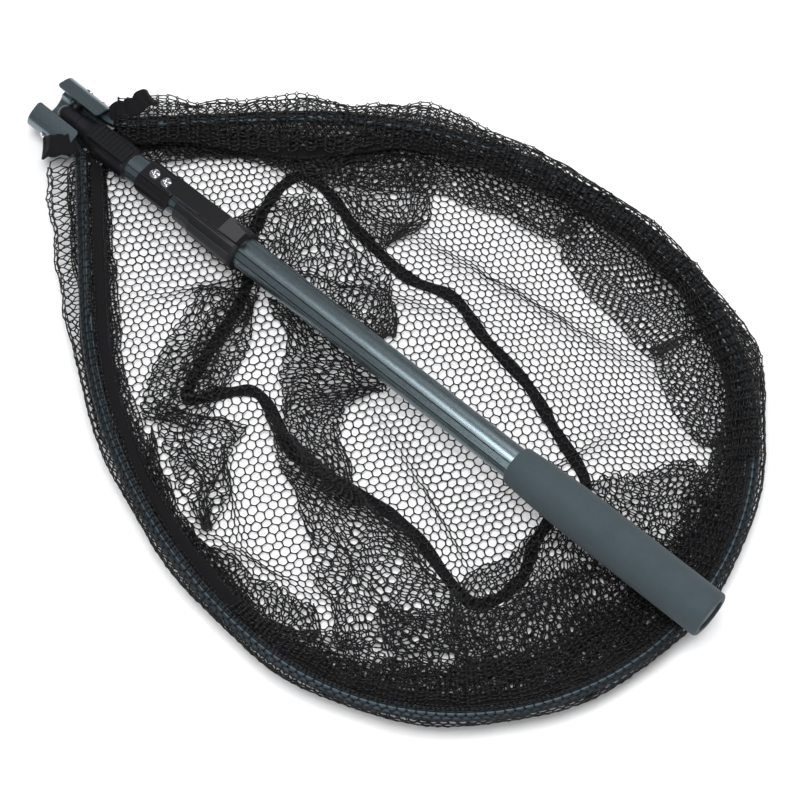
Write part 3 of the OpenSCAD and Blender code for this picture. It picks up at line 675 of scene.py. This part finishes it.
FOLD_REACH = (
    (0, -0.022), (0.05, -0.026), (0.12, -0.029), (0.20, -0.030), (0.28, -0.038), (0.36, -0.052),
    (0.45, -0.066), (0.52, -0.060), (0.58, -0.044), (0.62, -0.062), (0.68, -0.078), (0.72, -0.076),
    (0.76, -0.052), (0.83, -0.056), (0.89, -0.058), (0.93, -0.034), (0.96, -0.024), (1, -0.022),
)
# 1 where the wall has one more fold than elsewhere
FOLDED_TWICE = ((0, 0), (0.16, 0), (0.24, 1), (0.54, 1), (0.61, 0), (0.91, 0), (0.96, 1), (1, 1))
# How far the folded net pulls the hem inwards
HEM_PULL = ((0, 0), (0.55, 0), (0.85, -0.002), (0.90, -0.016), (0.93, -0.012), (0.96, -0.002), (1, 0))

HEM_REACH = -0.0078
HEM_W = 0.010
HEM_Z = HOOP_Z - 0.0022
HEM_SAG = 0.55
DISC_Z = 0.0025
WALL_LENGTH = HOOP.length * 1.02
WALL_DEPTH = 0.160
WALL_COLUMNS = 208
WALL_ROWS = 25
WALL_STEPS = 70
FOLD_HEIGHTS = (0.0095, 0.0080, 0.0055)
# Axis, reach and seed of the soft waves over the wall as it is laid
WALL_WAVES = ((0, 0.0032, 6), (1, 0.0032, 7), (2, 0.0020, 5))
CROSSING = 4
FLOOR_PIECES = ["net_floor_left", "net_floor_right"]


def hem_reach(share):
    """Outer edge of the hem, beside the hoop."""
    return HEM_REACH + profile(HEM_PULL, share)


def hem_height(share):
    """The hem hangs lower where the folded net pulls it inwards."""
    return HEM_Z + HEM_SAG * profile(HEM_PULL, share)


def edge_reach(share):
    """How far the bottom of the bag reaches past the middle of the hoop, in soft waves."""
    return profile(EDGE_REACH, share) + 0.002 * np.sin(share * 60) + 0.0015 * np.sin(share * 135 + 1)


def ring_shares():
    """Places along the hoop for a closed ring of points, the last few of which cross the throat."""
    back = np.ones(CROSSING)
    back[CROSSING // 2:] = 0
    return np.concatenate([np.linspace(0, 1, WALL_COLUMNS - CROSSING), back])


def closed_ring(reach):
    """A closed ring of points beside the hoop."""
    ring = HOOP.at(ring_shares(), reach)
    step = np.linspace(0, 1, CROSSING + 2)[1:-1, None]
    ring[-CROSSING:] = ring[-CROSSING - 1] * (1 - step) + ring[0] * step
    return ring


def rows(values, like):
    """Rows of numbers as long as another array, from arrays and plain numbers."""
    return np.stack([np.broadcast_to(value, like.shape) for value in values])


def wall_start():
    """The wall as it is laid: from the hem in to its fold and out to its edge, folded twice in parts."""
    shares = ring_shares()
    wave = ripple(shares * 14, 0, 11)
    fine = ripple(shares * 34, 0, 12)
    ends = smooth(np.minimum(shares, 1 - shares), 0.0, 0.06)
    twice = profile(FOLDED_TWICE, shares)
    rim = hem_reach(shares) - HEM_W + 0.001
    edge = edge_reach(shares)
    inner = profile(FOLD_REACH, shares) * (1 + ends * (0.05 * wave + 0.02 * fine))
    # Folded once, the wall turns back a third of the way to its edge. Folded twice, it first goes
    # out to the hoop and in again.
    outer = (1 - twice) * (inner + 0.33 * (edge - inner)) + twice * np.minimum(edge - 0.006, 0.012)
    middle = (1 - twice) * (inner + 0.36 * (edge - inner)) + twice * (inner * (0.80 + 0.08 * fine))
    turns = np.stack([rim, inner, outer, middle, edge])
    heights = rows([hem_height(shares) - 0.0012, *FOLD_HEIGHTS, DISC_Z + 0.0008], shares)
    runs = np.vstack([0 * shares, np.cumsum(np.abs(np.diff(turns, axis=0)), axis=0)])
    runs /= runs[-1]
    depth = np.linspace(0, 1, WALL_ROWS)
    grid = np.zeros((WALL_ROWS, WALL_COLUMNS, 3))
    base = closed_ring(0)
    outward = HOOP.outward(shares)
    for j in range(WALL_COLUMNS):
        reach = np.interp(depth, runs[:, j], turns[:, j])
        grid[:, j, :2] = base[j] + outward[j] * reach[:, None]
        grid[:, j, 2] = np.interp(depth, runs[:, j], heights[:, j])
    row, col = np.meshgrid(np.arange(WALL_ROWS), np.arange(WALL_COLUMNS), indexing="ij")
    for axis, reach, seed in WALL_WAVES:
        grid[1:-1, :, axis] += reach * ripple(col / 7.0, row / 5.0, seed)[1:-1]
    return grid


NET_TOP = 0.016
HANDLE_HALF = 0.026
HANDLE_ROOM = 0.0185


def under_handle(p):
    """Lowest and highest place that the netting may take at each point."""
    low = np.full(len(p), DISC_Z + 0.0010)
    high = np.full(len(p), NET_TOP)
    direction = JOINTS["telescope"]["axis"]
    handle_z = HINGE.z + (p[:, 0] - HINGE.x) * direction[2] / direction[0]
    near = np.abs(p[:, 1]) < HANDLE_HALF
    high = np.where(near, np.minimum(high, handle_z - HANDLE_ROOM), high)
    return low, np.maximum(high, low + 0.001)


def bag_wall():
    """The side of the bag in four parts, gathered inside the hoop."""
    cloth = Cloth(wall_start(), WALL_LENGTH / WALL_COLUMNS)
    cloth.settle(WALL_STEPS, under_handle)
    columns = 2 * round(WALL_LENGTH / CELL)
    lattice = Lattice(WALL_LENGTH, WALL_DEPTH, columns=columns)
    net = Netting(lattice, cloth.at, 3)
    names = ("rear_left", "front_left", "front_right", "rear_right")
    for i, name in enumerate(names):
        chosen = (lattice.middle_u * len(names)).astype(int) == i
        flat = (WALL_LENGTH / len(names), WALL_DEPTH)
        net.piece("net_wall_" + name, chosen, flat, "gathered", FLOOR_PIECES, ["net_sides"])


def inside(points, outline):
    """Which points lie inside a closed outline."""
    x, y = points[:, 0], points[:, 1]
    result = np.zeros(len(points), bool)
    for (x0, y0), (x1, y1) in zip(outline, np.roll(outline, -1, axis=0)):
        if y0 == y1:
            continue
        result ^= ((y0 > y) != (y1 > y)) & (x < (x1 - x0) * (y - y0) / (y1 - y0) + x0)
    return result


# Creases in the bottom of the bag: a point on each, its direction in degrees, its reach and how far
# it pulls in
CREASES = (
    ((-0.010, -0.150), -35, 0.060, 0.010),
    ((0.060, 0.130), 8, 0.120, 0.009),
    ((0.130, -0.060), -20, 0.080, 0.009),
    ((-0.060, 0.040), 25, 0.090, 0.010),
    ((0.180, 0.030), 70, 0.060, 0.008),
    ((-0.140, -0.030), 55, 0.060, 0.010),
    ((0.050, -0.190), 10, 0.070, 0.010),
    ((0.010, 0.190), 3, 0.100, 0.008),
)
CREASE_HALF = 0.011
CREASE_FADE = 0.060
RIDGE_HALF = 0.007
RIDGE_LIFT = 0.0028
FLOOR_TURN = math.radians(-6)
FLOOR_SPAN = 1.5
FLOOR_STRAY = 0.0006
ROUND_SHARE = 0.74


def creased(xy):
    """The bottom of the bag drawn together along its creases, and lifted there."""
    moved = xy.copy()
    height = np.zeros(len(xy))
    for (x, y), turn, reach, pull in CREASES:
        a = math.radians(turn)
        along = (moved[:, 0] - x) * math.cos(a) + (moved[:, 1] - y) * math.sin(a)
        away = -(moved[:, 0] - x) * math.sin(a) + (moved[:, 1] - y) * math.cos(a)
        share = np.exp(-((along / reach) ** 2))
        shift = -pull * share * np.tanh(away / CREASE_HALF) * np.exp(-np.abs(away) / CREASE_FADE)
        moved += np.stack([-math.sin(a) * shift, math.cos(a) * shift], 1)
        height += RIDGE_LIFT * share * np.exp(-((away / RIDGE_HALF) ** 2))
    height += 0.0012 * (1 + ripple(xy[:, 0] * 14, xy[:, 1] * 14, 21))
    return moved, height


def gathered_row(y):
    """Rows of cells lie closer together to the right of the handle."""
    near, close = 0.030, 0.74
    slack = 0.035
    past = y - near
    return np.where(y < near, y, near + past * close + (1 - close) * slack * np.tanh(past / slack))


def bag_floor():
    """The bottom of the bag, flat on the ground inside the wall's lower edge."""
    edge = closed_ring(edge_reach(ring_shares()))
    low, high = edge.min(0), edge.max(0)
    size = high - low
    span = size[0] * FLOOR_SPAN
    cosine, sine = math.cos(FLOOR_TURN), math.sin(FLOOR_TURN)
    spin = np.array([[cosine, sine], [-sine, cosine]])

    def surface(u, v):
        plan = np.stack([u - 0.5, v - 0.5], 1) * span @ spin + (low + high) / 2
        plan[:, 1] = gathered_row(plan[:, 1])
        moved, height = creased(plan)
        for axis, seed in enumerate((31, 32)):
            moved[:, axis] += FLOOR_STRAY * ripple(plan[:, 0] * 40, plan[:, 1] * 40, seed)
        return np.column_stack([moved, DISC_Z + height])

    net = Netting(Lattice(span, span), surface, 13, stray=0.00012)
    whole = inside(net.starts, edge) & inside(net.ends, edge) & ~net.lattice.wraps
    left = net.middles[:, 1] < 0
    for name, chosen in (("left", whole & left), ("right", whole & ~left)):
        flat = (size[1] / 2, size[0] * ROUND_SHARE)
        net.piece("net_floor_" + name, chosen, flat, "laid", [], ["net_base"])


# Folds in the bottom of the bag, where the netting lies in layers: the name of each, its height and
# its two edges
FOLDS = (
    ("beside_handle", 0.0062,
     ((-0.171, 0.028), (-0.150, 0.072), (-0.120, 0.090), (-0.049, 0.074), (-0.011, 0.060),
      (0.004, 0.034)),
     ((-0.152, 0.019), (-0.110, 0.016), (-0.060, 0.018), (-0.025, 0.020), (-0.002, 0.020))),
    ("diagonal", 0.0062,
     ((-0.150, -0.040), (-0.131, -0.088), (-0.121, -0.128), (-0.100, -0.156)),
     ((-0.102, -0.012), (-0.082, -0.047), (-0.068, -0.085), (-0.060, -0.138))),
    ("under_tube", 0.0066,
     ((-0.098, -0.010), (-0.058, -0.032), (-0.032, -0.064), (-0.008, -0.086), (0.052, -0.098)),
     ((-0.078, 0.004), (-0.015, -0.003), (0.034, -0.008), (0.016, -0.036), (0.031, -0.060),
      (0.066, -0.087))),
    ("tongue", 0.0060,
     ((-0.104, -0.143), (-0.070, -0.164), (-0.036, -0.178), (0.004, -0.196)),
     ((-0.031, -0.107), (-0.024, -0.132), (-0.010, -0.156), (0.008, -0.193))),
    ("broad", 0.0066,
     ((-0.030, -0.086), (0.010, -0.110), (0.040, -0.130), (0.100, -0.166), (0.150, -0.200)),
     ((0.036, -0.093), (0.086, -0.090), (0.132, -0.090), (0.183, -0.104), (0.231, -0.135))),
    ("low", 0.0058,
     ((-0.088, -0.160), (-0.032, -0.194), (0.019, -0.200), (0.070, -0.196), (0.112, -0.184)),
     ((-0.069, -0.190), (-0.011, -0.219), (0.039, -0.227), (0.089, -0.224), (0.143, -0.206))),
    ("under_grip", 0.0066,
     ((0.186, -0.104), (0.200, -0.058), (0.208, -0.010), (0.206, 0.036), (0.235, 0.070),
      (0.262, 0.112)),
     ((0.235, -0.156), (0.270, -0.120), (0.296, -0.080), (0.318, -0.037), (0.326, 0.015),
      (0.312, 0.080))),
    ("second_grip", 0.0078,
     ((0.150, -0.150), (0.205, -0.112), (0.236, -0.060), (0.250, -0.020), (0.262, 0.030)),
     ((0.200, -0.190), (0.262, -0.140), (0.300, -0.092), (0.320, -0.030), (0.312, 0.050))),
    ("upper", 0.0066,
     ((-0.172, 0.114), (-0.139, 0.104), (-0.098, 0.096), (-0.056, 0.088)),
     ((-0.124, 0.200), (-0.094, 0.194), (-0.070, 0.172), (-0.052, 0.142), (-0.050, 0.106))),
    ("throat_roll", 0.0085,
     ((-0.300, 0.038), (-0.260, 0.054), (-0.236, 0.071), (-0.205, 0.091), (-0.178, 0.099),
      (-0.140, 0.099)),
     ((-0.288, 0.029), (-0.251, 0.045), (-0.229, 0.060), (-0.199, 0.080), (-0.173, 0.087),
      (-0.138, 0.087))),
    ("over_seam", 0.0085,
     ((-0.145, 0.004), (-0.127, -0.029), (-0.119, -0.057), (-0.111, -0.094), (-0.099, -0.131)),
     ((-0.117, 0.010), (-0.103, -0.022), (-0.095, -0.053), (-0.087, -0.088), (-0.068, -0.110))),
    ("throat", 0.0070,
     ((-0.292, 0.010), (-0.262, 0.022), (-0.235, 0.052), (-0.196, 0.078), (-0.150, 0.100)),
     ((-0.276, 0.052), (-0.244, 0.078), (-0.206, 0.108), (-0.160, 0.138), (-0.110, 0.166))),
)


FOLD_SEED = 100
FOLD_SKEW = 0.035
FOLD_STIR = 0.0042
FOLD_SWELL = 0.0016


def line_length(points):
    return np.linalg.norm(np.diff(np.array(points), axis=0), axis=1).sum()


def fold(name, height, near, far, seed):
    """A fold of the bag's bottom: netting that goes over from one edge to the other and back."""
    share = np.linspace(0, 1, 40)
    length = (line_length(near) + line_length(far)) / 2
    width = np.linalg.norm(curve(near, share) - curve(far, share), axis=1).mean()

    def surface(u, v):
        # u goes round the flattened loop, so layer is above or below, and saw is out and back
        layer = np.sin(2 * math.pi * u)
        saw = 1 - np.abs(1 - 2 * u)
        across = (0.7 * saw + 0.3 * (0.5 - 0.5 * np.cos(math.pi * saw)))[:, None]
        along = np.clip(v + FOLD_SKEW * layer, 0, 1)
        place = curve(near, along) * (1 - across) + curve(far, along) * across
        ends = smooth(np.minimum(along, 1 - along), 0.0, 0.12)
        stir = min(FOLD_STIR, 0.10 * width) * (0.4 + 0.6 * ends)
        x, y = place.T * 16
        place[:, 0] += stir * ripple(x + 0.5 * layer, y, seed)
        place[:, 1] += stir * ripple(x, y + 0.5 * layer, seed + 1)
        z = height + FOLD_SWELL * layer * (0.5 + 0.5 * ends)
        z = z + 0.0009 * ripple(x * 1.6, y * 1.6, seed + 2)
        low, high = under_handle(place)
        return np.column_stack([place, np.clip(z, low, high)])

    columns = 2 * max(4, round(2 * width / CELL))
    net = Netting(Lattice(2 * width, length, columns=columns), surface, seed)
    flat = (2 * width, length)
    net.piece("net_fold_" + name, slice(None), flat, "folded", FLOOR_PIECES, ["net_base"])


# ---- sleeve round the hoop ----

SLEEVE_FROM = 0.001
SLEEVE_TO = 0.999
SLEEVE_ROUND = 0.088
SLEEVE_TIGHT = 0.009
SLEEVE_SLANT = 0.0035
ARM_RISE = 0.0085


def sleeve_reach(share):
    """How far the loose mesh sleeve stands out from the middle of the hoop."""
    return profile(SLEEVE_LOOSE, share) + 0.0010 * np.sin(share * 90)


def sleeve_section(share, way):
    """Offset and height round the sleeve: from the hem over the hoop, down outside it and back below."""
    reach = sleeve_reach(share)
    hem = hem_reach(share)
    top = PROFILE_H / 2 + 0.0013
    rise = ARM_RISE * (1 - smooth(share, 0.006, 0.030))
    droop = np.clip((reach - SLEEVE_TIGHT) * 0.55, 0, 0.008)
    low = hem_height(share) - HOOP_Z
    # The hem, three stops up over the hoop, three round the loose edge, two below and the hem again
    offsets = rows([hem, hem + 0.004, -0.003, 0.004, reach * 0.86, reach, reach * 0.8, 0.001, -0.006,
                    hem], reach)
    heights = rows([low + 0.0012, 0.0030 + rise, top + rise, top + rise, 0.0030 - droop + rise * 0.5,
                    -0.0005 - droop, -0.0035 - droop, -top - 0.0004, -top, low - 0.0002], reach)
    stops = len(offsets) - 1
    place = np.clip(way, 0, 1) * stops
    first = np.minimum(place.astype(int), stops - 1)
    part = place - first
    part = 0.5 * part * part * (3 - 2 * part) + 0.5 * part
    pick = np.arange(len(share))
    offset = offsets[first, pick] * (1 - part) + offsets[first + 1, pick] * part
    height = heights[first, pick] * (1 - part) + heights[first + 1, pick] * part
    return offset, height


def mesh_sleeve():
    """The mesh sleeve round the hoop, in two halves."""
    length = HOOP.length * (SLEEVE_TO - SLEEVE_FROM)

    def surface(u, v):
        share = SLEEVE_FROM + (SLEEVE_TO - SLEEVE_FROM) * u
        share = np.clip(share + SLEEVE_SLANT * v, 0, 1)
        offset, height = sleeve_section(share, v)
        loose = np.clip((sleeve_reach(share) - SLEEVE_TIGHT) / 0.01, 0, 1)
        loose = loose * np.sin(np.clip(v, 0, 1) * math.pi)
        height = height + 0.0014 * loose * ripple(share * 45, v * 1.5, 41)
        offset = offset + 0.0016 * loose * ripple(share * 50, v * 1.5, 42)
        return np.column_stack([HOOP.at(share, offset), HOOP_Z + height])

    net = Netting(Lattice(length, SLEEVE_ROUND), surface, 8, stray=0.0002)
    left = net.lattice.middle_u < 0.5
    sewn = ~net.lattice.wraps
    flat = (SLEEVE_ROUND, length / 2)
    for name, chosen in (("left", sewn & left), ("right", sewn & ~left)):
        net.piece("net_sleeve_" + name, chosen, flat, "stretched", ["hoop_frame"], ["net_sleeve"])


BUNCH_STRETCH = 1.3
BUNCH_ON_HOOP = (0.585, 0.998)
BUNCH_ON_HEM = (0.26, 0.62)
HOOP_EDGE = -0.0068
HEM_INNER = -0.0075


def bunched(name, width, part, reaches, lift, stands_for, seed):
    """A flattened roll of netting along part of the hoop, drawn out into narrow cells."""
    first, last = part
    length = HOOP.length * (last - first)

    def surface(u, v):
        share = first + (last - first) * np.clip(v, 0, 1)
        saw = 1 - np.abs(1 - 2 * u)
        ends = smooth(np.minimum(share - first, last - share), 0.0, 0.02)
        inner, outer = reaches(share)
        inner = inner - 0.004 * ripple(share * 22, 0, seed)
        outer = outer - 0.002 * ripple(share * 30, 0, seed + 1)
        offset = inner * (1 - saw) + outer * saw
        wave = 0.0011 * np.sin(2 * math.pi * u) + 0.0012 * ripple(share * 60, saw * 2, seed + 2) * ends
        height = lift(offset) + wave
        height = np.where(offset > HOOP_EDGE, np.maximum(height, PROFILE_H / 2 + 0.0021), height)
        offset = offset + 0.0014 * ripple(share * 40, saw * 2, seed + 3) * ends
        return np.column_stack([HOOP.at(share, offset), HOOP_Z + height])

    net = Netting(Lattice(width, length / BUNCH_STRETCH), surface, seed)
    front = net.lattice.middle_v < 0.5
    flat = (width, length / BUNCH_STRETCH / 2)
    for half, chosen in (("first", front), ("second", ~front)):
        piece = f"net_bunch_{name}_{half}"
        net.piece(piece, chosen, flat, "gathered", ["net_sleeve_right"], [stands_for])


def bunched_netting():
    """Netting that has slid up over the right side of the hoop, and over the hem at the front."""
    def over_hoop(share):
        return hem_reach(share) - HEM_W - 0.002, sleeve_reach(share) - 0.004

    def over_hem(share):
        middle = smooth(np.minimum(share - BUNCH_ON_HEM[0], BUNCH_ON_HEM[1] - share), 0.0, 0.06)
        return -0.020 - 0.026 * middle, HEM_INNER

    def crown(offset):
        return 0.0018 + 0.0056 * np.clip(1 - (offset / 0.016) ** 2, -0.4, 1)

    def slope(offset):
        return 0.0010 + 0.30 * np.clip(offset - HEM_INNER, -0.06, 0)

    bunched("right", 0.104, BUNCH_ON_HOOP, over_hoop, crown, "net_sleeve", 51)
    bunched("front", 0.080, BUNCH_ON_HEM, over_hem, slope, "net_sides", 61)


# ---- tapes and cuffs ----

TAPE_T = 0.0011
HEM_ENDS = (0.002, 0.998)
HEM_STEPS = 440
SEAM_W = 0.010
SEAM_STEPS = 700
CUFF_T = 0.0022
CUFF_CROWN = 0.0006
CUFF_STEPS = 60


def hem():
    """The woven tape that binds the top of the bag, inside the hoop."""
    share = np.linspace(*HEM_ENDS, HEM_STEPS)
    reach = hem_reach(share) - HEM_W / 2 + 0.0006 * np.sin(share * 150)
    z = hem_height(share) - 0.0010 + 0.0005 * np.sin(share * 61)
    middle = np.column_stack([HOOP.at(share, reach), z])
    across = np.column_stack([HOOP.outward(share), 0.25 + 0.12 * np.sin(share * 47)])
    rings = ribbon(middle, across, HEM_W * (1 + 0.05 * np.sin(share * 110)), TAPE_T)
    piece = soft_piece("hem_binding", *lofted(rings), "black_tape", ["hem_tape"])


# The bottom seam as it lies, from the throat along the right side and back along the left
SEAM_LINE = (
    (-0.154, 0.100), (-0.124, 0.099), (-0.083, 0.089), (-0.024, 0.084), (0.018, 0.095),
    (0.061, 0.084), (0.115, 0.075), (0.158, 0.059), (0.209, 0.038), (0.206, 0.005), (0.211, -0.030),
    (0.222, -0.062), (0.205, -0.100), (0.136, -0.087), (0.095, -0.087), (0.055, -0.094),
    (0.011, -0.099), (-0.018, -0.086), (-0.048, -0.079), (-0.066, -0.095), (-0.086, -0.120),
    (-0.099, -0.092), (-0.107, -0.056), (-0.115, -0.026), (-0.129, 0.002), (-0.148, 0.024),
    (-0.160, 0.055), (-0.163, 0.083),
)


def bottom_seam():
    """The woven tape round the seam between the side of the bag and its bottom."""
    share = np.linspace(0, 1, SEAM_STEPS, endpoint=False)
    line = curve(SEAM_LINE, share, closed=True)
    way = 2 * math.pi * share
    z = 0.0011 + 0.0002 * np.sin(way * 9)
    middle = np.column_stack([line, z])
    along = np.roll(line, -1, axis=0) - np.roll(line, 1, axis=0)
    across = np.column_stack([-along[:, 1], along[:, 0]])
    across /= np.linalg.norm(across, axis=1, keepdims=True)
    across = np.column_stack([across, 0.03 * np.sin(way * 7)])
    rings = ribbon(middle, across, SEAM_W * (1 + 0.10 * np.sin(way * 31)), TAPE_T)
    skin = lofted(np.vstack([rings, rings[:1]]), closed_ends=False)
    piece = soft_piece("bottom_seam_binding", *skin, "black_tape", ["seam_tape"])
    line_length(line)


# The woven cuffs at the ends of the sleeve, flattened: the side of each, the way its width runs in
# degrees, its width, and its path across the sleeve
CUFFS = (
    ("left", -44, 0.019,
     ((-0.3335, -0.0372, 0.021), (-0.3295, -0.0353, 0.027), (-0.3238, -0.0331, 0.031),
      (-0.3184, -0.0285, 0.033), (-0.3135, -0.0228, 0.032), (-0.3108, -0.0182, 0.029),
      (-0.3098, -0.0165, 0.025))),
    ("right", -21, 0.017,
     ((-0.3101, 0.0212, 0.024), (-0.3084, 0.0275, 0.028), (-0.3038, 0.0331, 0.031),
      (-0.2977, 0.0395, 0.033), (-0.2969, 0.0474, 0.034), (-0.2967, 0.0544, 0.032),
      (-0.2958, 0.0588, 0.026))),
)


def cuff(end, heading, width, path):
    """A woven band bent over the end of the sleeve, with soft puckers."""
    share = np.linspace(0, 1, CUFF_STEPS)
    middle = curve(path, share)
    turn = math.radians(heading)
    side = np.array([math.cos(turn), math.sin(turn), -0.05])
    middle += np.outer(0.0006 * np.sin(share * 23), side)
    middle[:, 2] += 0.0005 * np.sin(share * 31)
    across = np.tile(side, (len(share), 1))
    across[:, 2] += 0.05 * np.sin(share * 11)
    rings = ribbon(middle, across, width * (1 + 0.05 * np.sin(share * 19)), CUFF_T, CUFF_CROWN)
    piece = soft_piece("cuff_band_" + end, *lofted(rings), "black_tape", ["cuff_" + end])
    line_length(middle)


# ---- room ----


def studio():
    """A pale floor under soft light from above and from the sides."""
    side = 6.0
    bpy.ops.mesh.primitive_plane_add(size=side, location=(0, 0, -0.0002))
    floor = bpy.context.object
    floor.name = "studio_floor"
    paper = Finish("studio_paper", Specular_IOR_Level=0.1)
    grain = paper.noise(300.0, 2.0)
    paper.colour(paper.blend(grain, (0.88, 0.88, 0.885), (0.90, 0.90, 0.905)))
    paper.rough(0.9 + grain * 0.05)
    floor.data.materials.append(paper.material)
    world = bpy.data.worlds.new("studio_air")
    bpy.context.scene.world = world
    world.use_nodes = True
    world.node_tree.nodes["Background"].inputs["Color"].default_value = (0.95, 0.97, 1.0, 1)
    world.node_tree.nodes["Background"].inputs["Strength"].default_value = 0.17
    lamps = (
        ("window", (0.3, 1.5, 1.8), (1.3, 1.3), 28),
        ("ceiling", (0.10, -0.30, 2.30), (1.2, 1.2), 52),
        ("strip", (0.42, -1.60, 1.00), (1.4, 0.30), 10),
    )
    for name, place, size, power in lamps:
        light = bpy.data.lights.new(name, "AREA")
        light.shape = "RECTANGLE"
        light.size, light.size_y = size
        light.energy = power
        lamp = bpy.data.objects.new(name, light)
        lamp.location = place
        lamp.rotation_mode = "QUATERNION"
        lamp.rotation_quaternion = (-Vector(place)).to_track_quat("-Z", "Y")
        bpy.context.scene.collection.objects.link(lamp)


def camera():
    """Looks down on the net from beside the left arm of the hoop."""
    elevation = math.radians(66.25)
    heading = math.radians(131.35)
    distance = 1.886
    target = Vector((0.0543, -0.0149, 0.030))
    look = Vector((
        math.cos(heading) * math.cos(elevation),
        math.sin(heading) * math.cos(elevation),
        -math.sin(elevation),
    ))
    lens = bpy.data.cameras.new("camera")
    lens.sensor_width = 36
    lens.lens = 104.47
    eye = bpy.data.objects.new("camera", lens)
    eye.location = target - look * distance
    eye.rotation_mode = "QUATERNION"
    eye.rotation_quaternion = look.to_track_quat("-Z", "Y")
    bpy.context.scene.collection.objects.link(eye)
    bpy.context.scene.camera = eye


bpy.context.scene.view_settings.view_transform = "Standard"
camera()
studio()
dress_hard_pieces()
bag_floor()
bag_wall()
for number, (name, height, near, far) in enumerate(FOLDS):
    fold(name, height, near, far, FOLD_SEED + 10 * number)
mesh_sleeve()
bunched_netting()
hem()
bottom_seam()
for end, heading, width, path in CUFFS:
    cuff(end, heading, width, path)
